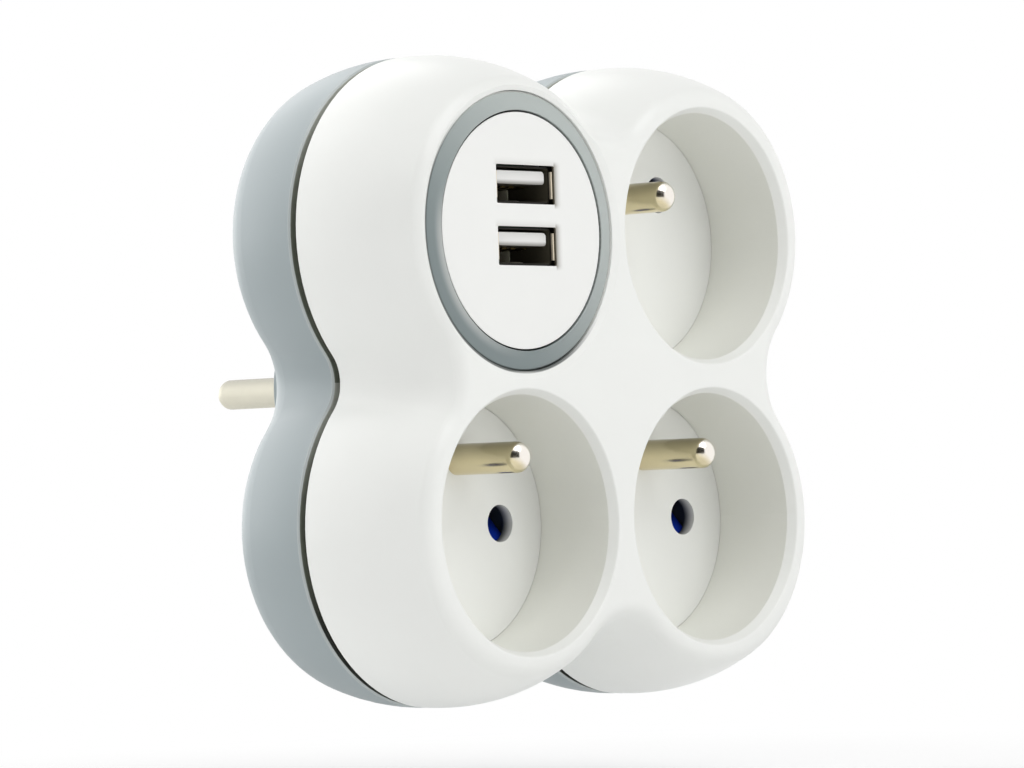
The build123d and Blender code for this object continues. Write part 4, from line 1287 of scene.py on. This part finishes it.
@dataclass
class Studio:
    """White surroundings, a pale floor, soft lamps and a dark card behind the lens."""

    floor_level: float = -65.0 * MM
    floor_reach: tuple[float, float] = (8.0, 8.0)
    floor_near: float = 0.07
    floor_far: float = 0.2
    floor_colour: Colour = (0.93, 0.93, 0.93)
    sky: Colour = (0.37, 0.37, 0.37)
    ground: Colour = (0.45, 0.45, 0.445)
    card_reach: tuple[float, float] = (1.1, 0.95)
    card_colour: Colour = (0.02, 0.018, 0.012)
    card_gap: float = 0.1
    lamps: tuple[SoftBox, ...] = (
        SoftBox("key_lamp", (-0.1, -1.1, 1.35), 1.3, 14.6),
        SoftBox("low_lamp", (0.06, -0.42, -0.06), 0.3, 0.31, mirrored=False),
        SoftBox("back_lamp", (-0.05, 1.45, 0.82), 2.4, 24.5),
        SoftBox("side_lamp", (-1.2, 0.9, 0.4), 1.0, 5.2, mirrored=False),
    )

    def seen(self, sheet: Sheet) -> Wire:
        """One for rays that show the surroundings, straight or mirrored, and none for light.

        Args:
            sheet: the node tree of the world or the floor.

        Returns:
            The share.
        """
        rays = ("Is Camera Ray", "Is Glossy Ray", "Is Transmission Ray")
        camera, glossy, through = (sheet.node("ShaderNodeLightPath", {}, {}, ray) for ray in rays)
        return sheet.maths("MINIMUM", camera + glossy + through, 1.0)

    def world(self) -> None:
        """White surroundings that give a soft light from all sides."""
        world = bpy.data.worlds.new("studio")
        world.use_nodes = True
        sheet = Sheet(world.node_tree)
        way = sheet.node("ShaderNodeTexCoord", {}, {}, "Generated")
        # The way's height is -1 straight down and 1 straight up, and the share between 0 and 1.
        height = sheet.along(way, Axis.UP) * 0.5 + 0.5
        light = sheet.node("ShaderNodeBackground", {}, {"Color": sheet.blend(height, self.ground, self.sky)})
        white = sheet.node("ShaderNodeBackground", {}, {"Color": opaque(WHITE)})
        mixed = sheet.node("ShaderNodeMixShader", {}, {0: self.seen(sheet), 1: light, 2: white})
        sheet.node("ShaderNodeOutputWorld", {}, {"Surface": mixed})
        bpy.context.scene.world = world

    def flat(
        self, name: str, reach: tuple[float, float], place: Matrix, draw: Callable[[Sheet], Wire]
    ) -> bpy.types.Object:
        """Makes a flat piece of the studio.

        Args:
            name: its name.
            reach: half its width and half its length.
            place: where its middle is and how it is turned.
            draw: draws its surface shader in an empty tree.

        Returns:
            The new object.
        """
        shape = bmesh.new()
        matrix = place @ Matrix.Diagonal((*reach, 1.0, 1.0))
        bmesh.ops.create_grid(shape, x_segments=1, y_segments=1, size=1.0, matrix=matrix)
        mesh = bpy.data.meshes.new(name)
        shape.to_mesh(mesh)
        shape.free()
        mesh.materials.append(painted(name, draw))
        made = bpy.data.objects.new(name, mesh)
        bpy.context.scene.collection.objects.link(made)
        return made

    def floor_surface(self, sheet: Sheet) -> Wire:
        """Draws a floor that is pale near the adaptor and turns white further off.

        Args:
            sheet: the material's node tree.

        Returns:
            The surface shader.
        """
        radius = sheet.node("ShaderNodeVectorMath", {"operation": "LENGTH"}, {0: sheet.place()}, "Value")
        share = sheet.step(radius, self.floor_near, self.floor_far) * self.seen(sheet)
        pale = sheet.node("ShaderNodeBsdfDiffuse", {}, {"Color": opaque(self.floor_colour)})
        white = sheet.node("ShaderNodeEmission", {}, {"Color": opaque(WHITE), "Strength": 1.0})
        return sheet.node("ShaderNodeMixShader", {}, {0: share, 1: pale, 2: white})

    def card_surface(self, sheet: Sheet) -> Wire:
        """Draws the card's plain dark face."""
        return sheet.node("ShaderNodeBsdfDiffuse", {}, {"Color": opaque(self.card_colour)})

    def floor(self) -> None:
        """A floor that keeps the shadow near the adaptor."""
        place = Matrix.Translation((0.0, 0.0, self.floor_level))
        floor = self.flat("floor", self.floor_reach, place, self.floor_surface)

    def card(self) -> None:
        """A dark card behind the lens, which shows only as a reflection in metal and gloss."""
        behind = bpy.context.scene.camera.matrix_world @ Matrix.Translation((0.0, 0.0, self.card_gap))
        card = self.flat("lens_card", self.card_reach, behind, self.card_surface)
        card.visible_camera = False
        card.visible_diffuse = False
        card.visible_shadow = False

    def build(self) -> None:
        """Sets up the surroundings, the floor, the card, the lamps and the colour view."""
        self.world()
        self.floor()
        self.card()
        for lamp in self.lamps:
            lamp.build()
        bpy.context.scene.view_settings.view_transform = "Standard"


def main() -> None:
    """Builds and dresses the adaptor and sets up the studio."""
    logging.basicConfig(level=logging.INFO, format="%(name)s %(message)s")
    Viewpoint().build()
    assemblies: list[Assembly] = [
        Casing(),
        Outlet("lower_left", (-WELL_OFFSET, -WELL_OFFSET)),
        Outlet("lower_right", (WELL_OFFSET, -WELL_OFFSET)),
        Outlet("upper_right", (WELL_OFFSET, WELL_OFFSET), turn=52.0),
        UsbPanel(),
        *(UsbPort(name, level) for name, level in PORT_LEVELS.items()),
        WallPlug(),
    ]
    for assembly in assemblies:
        assembly.dress()
        assembly.build()
    Studio().build()


if __name__ == "__main__":
    main()
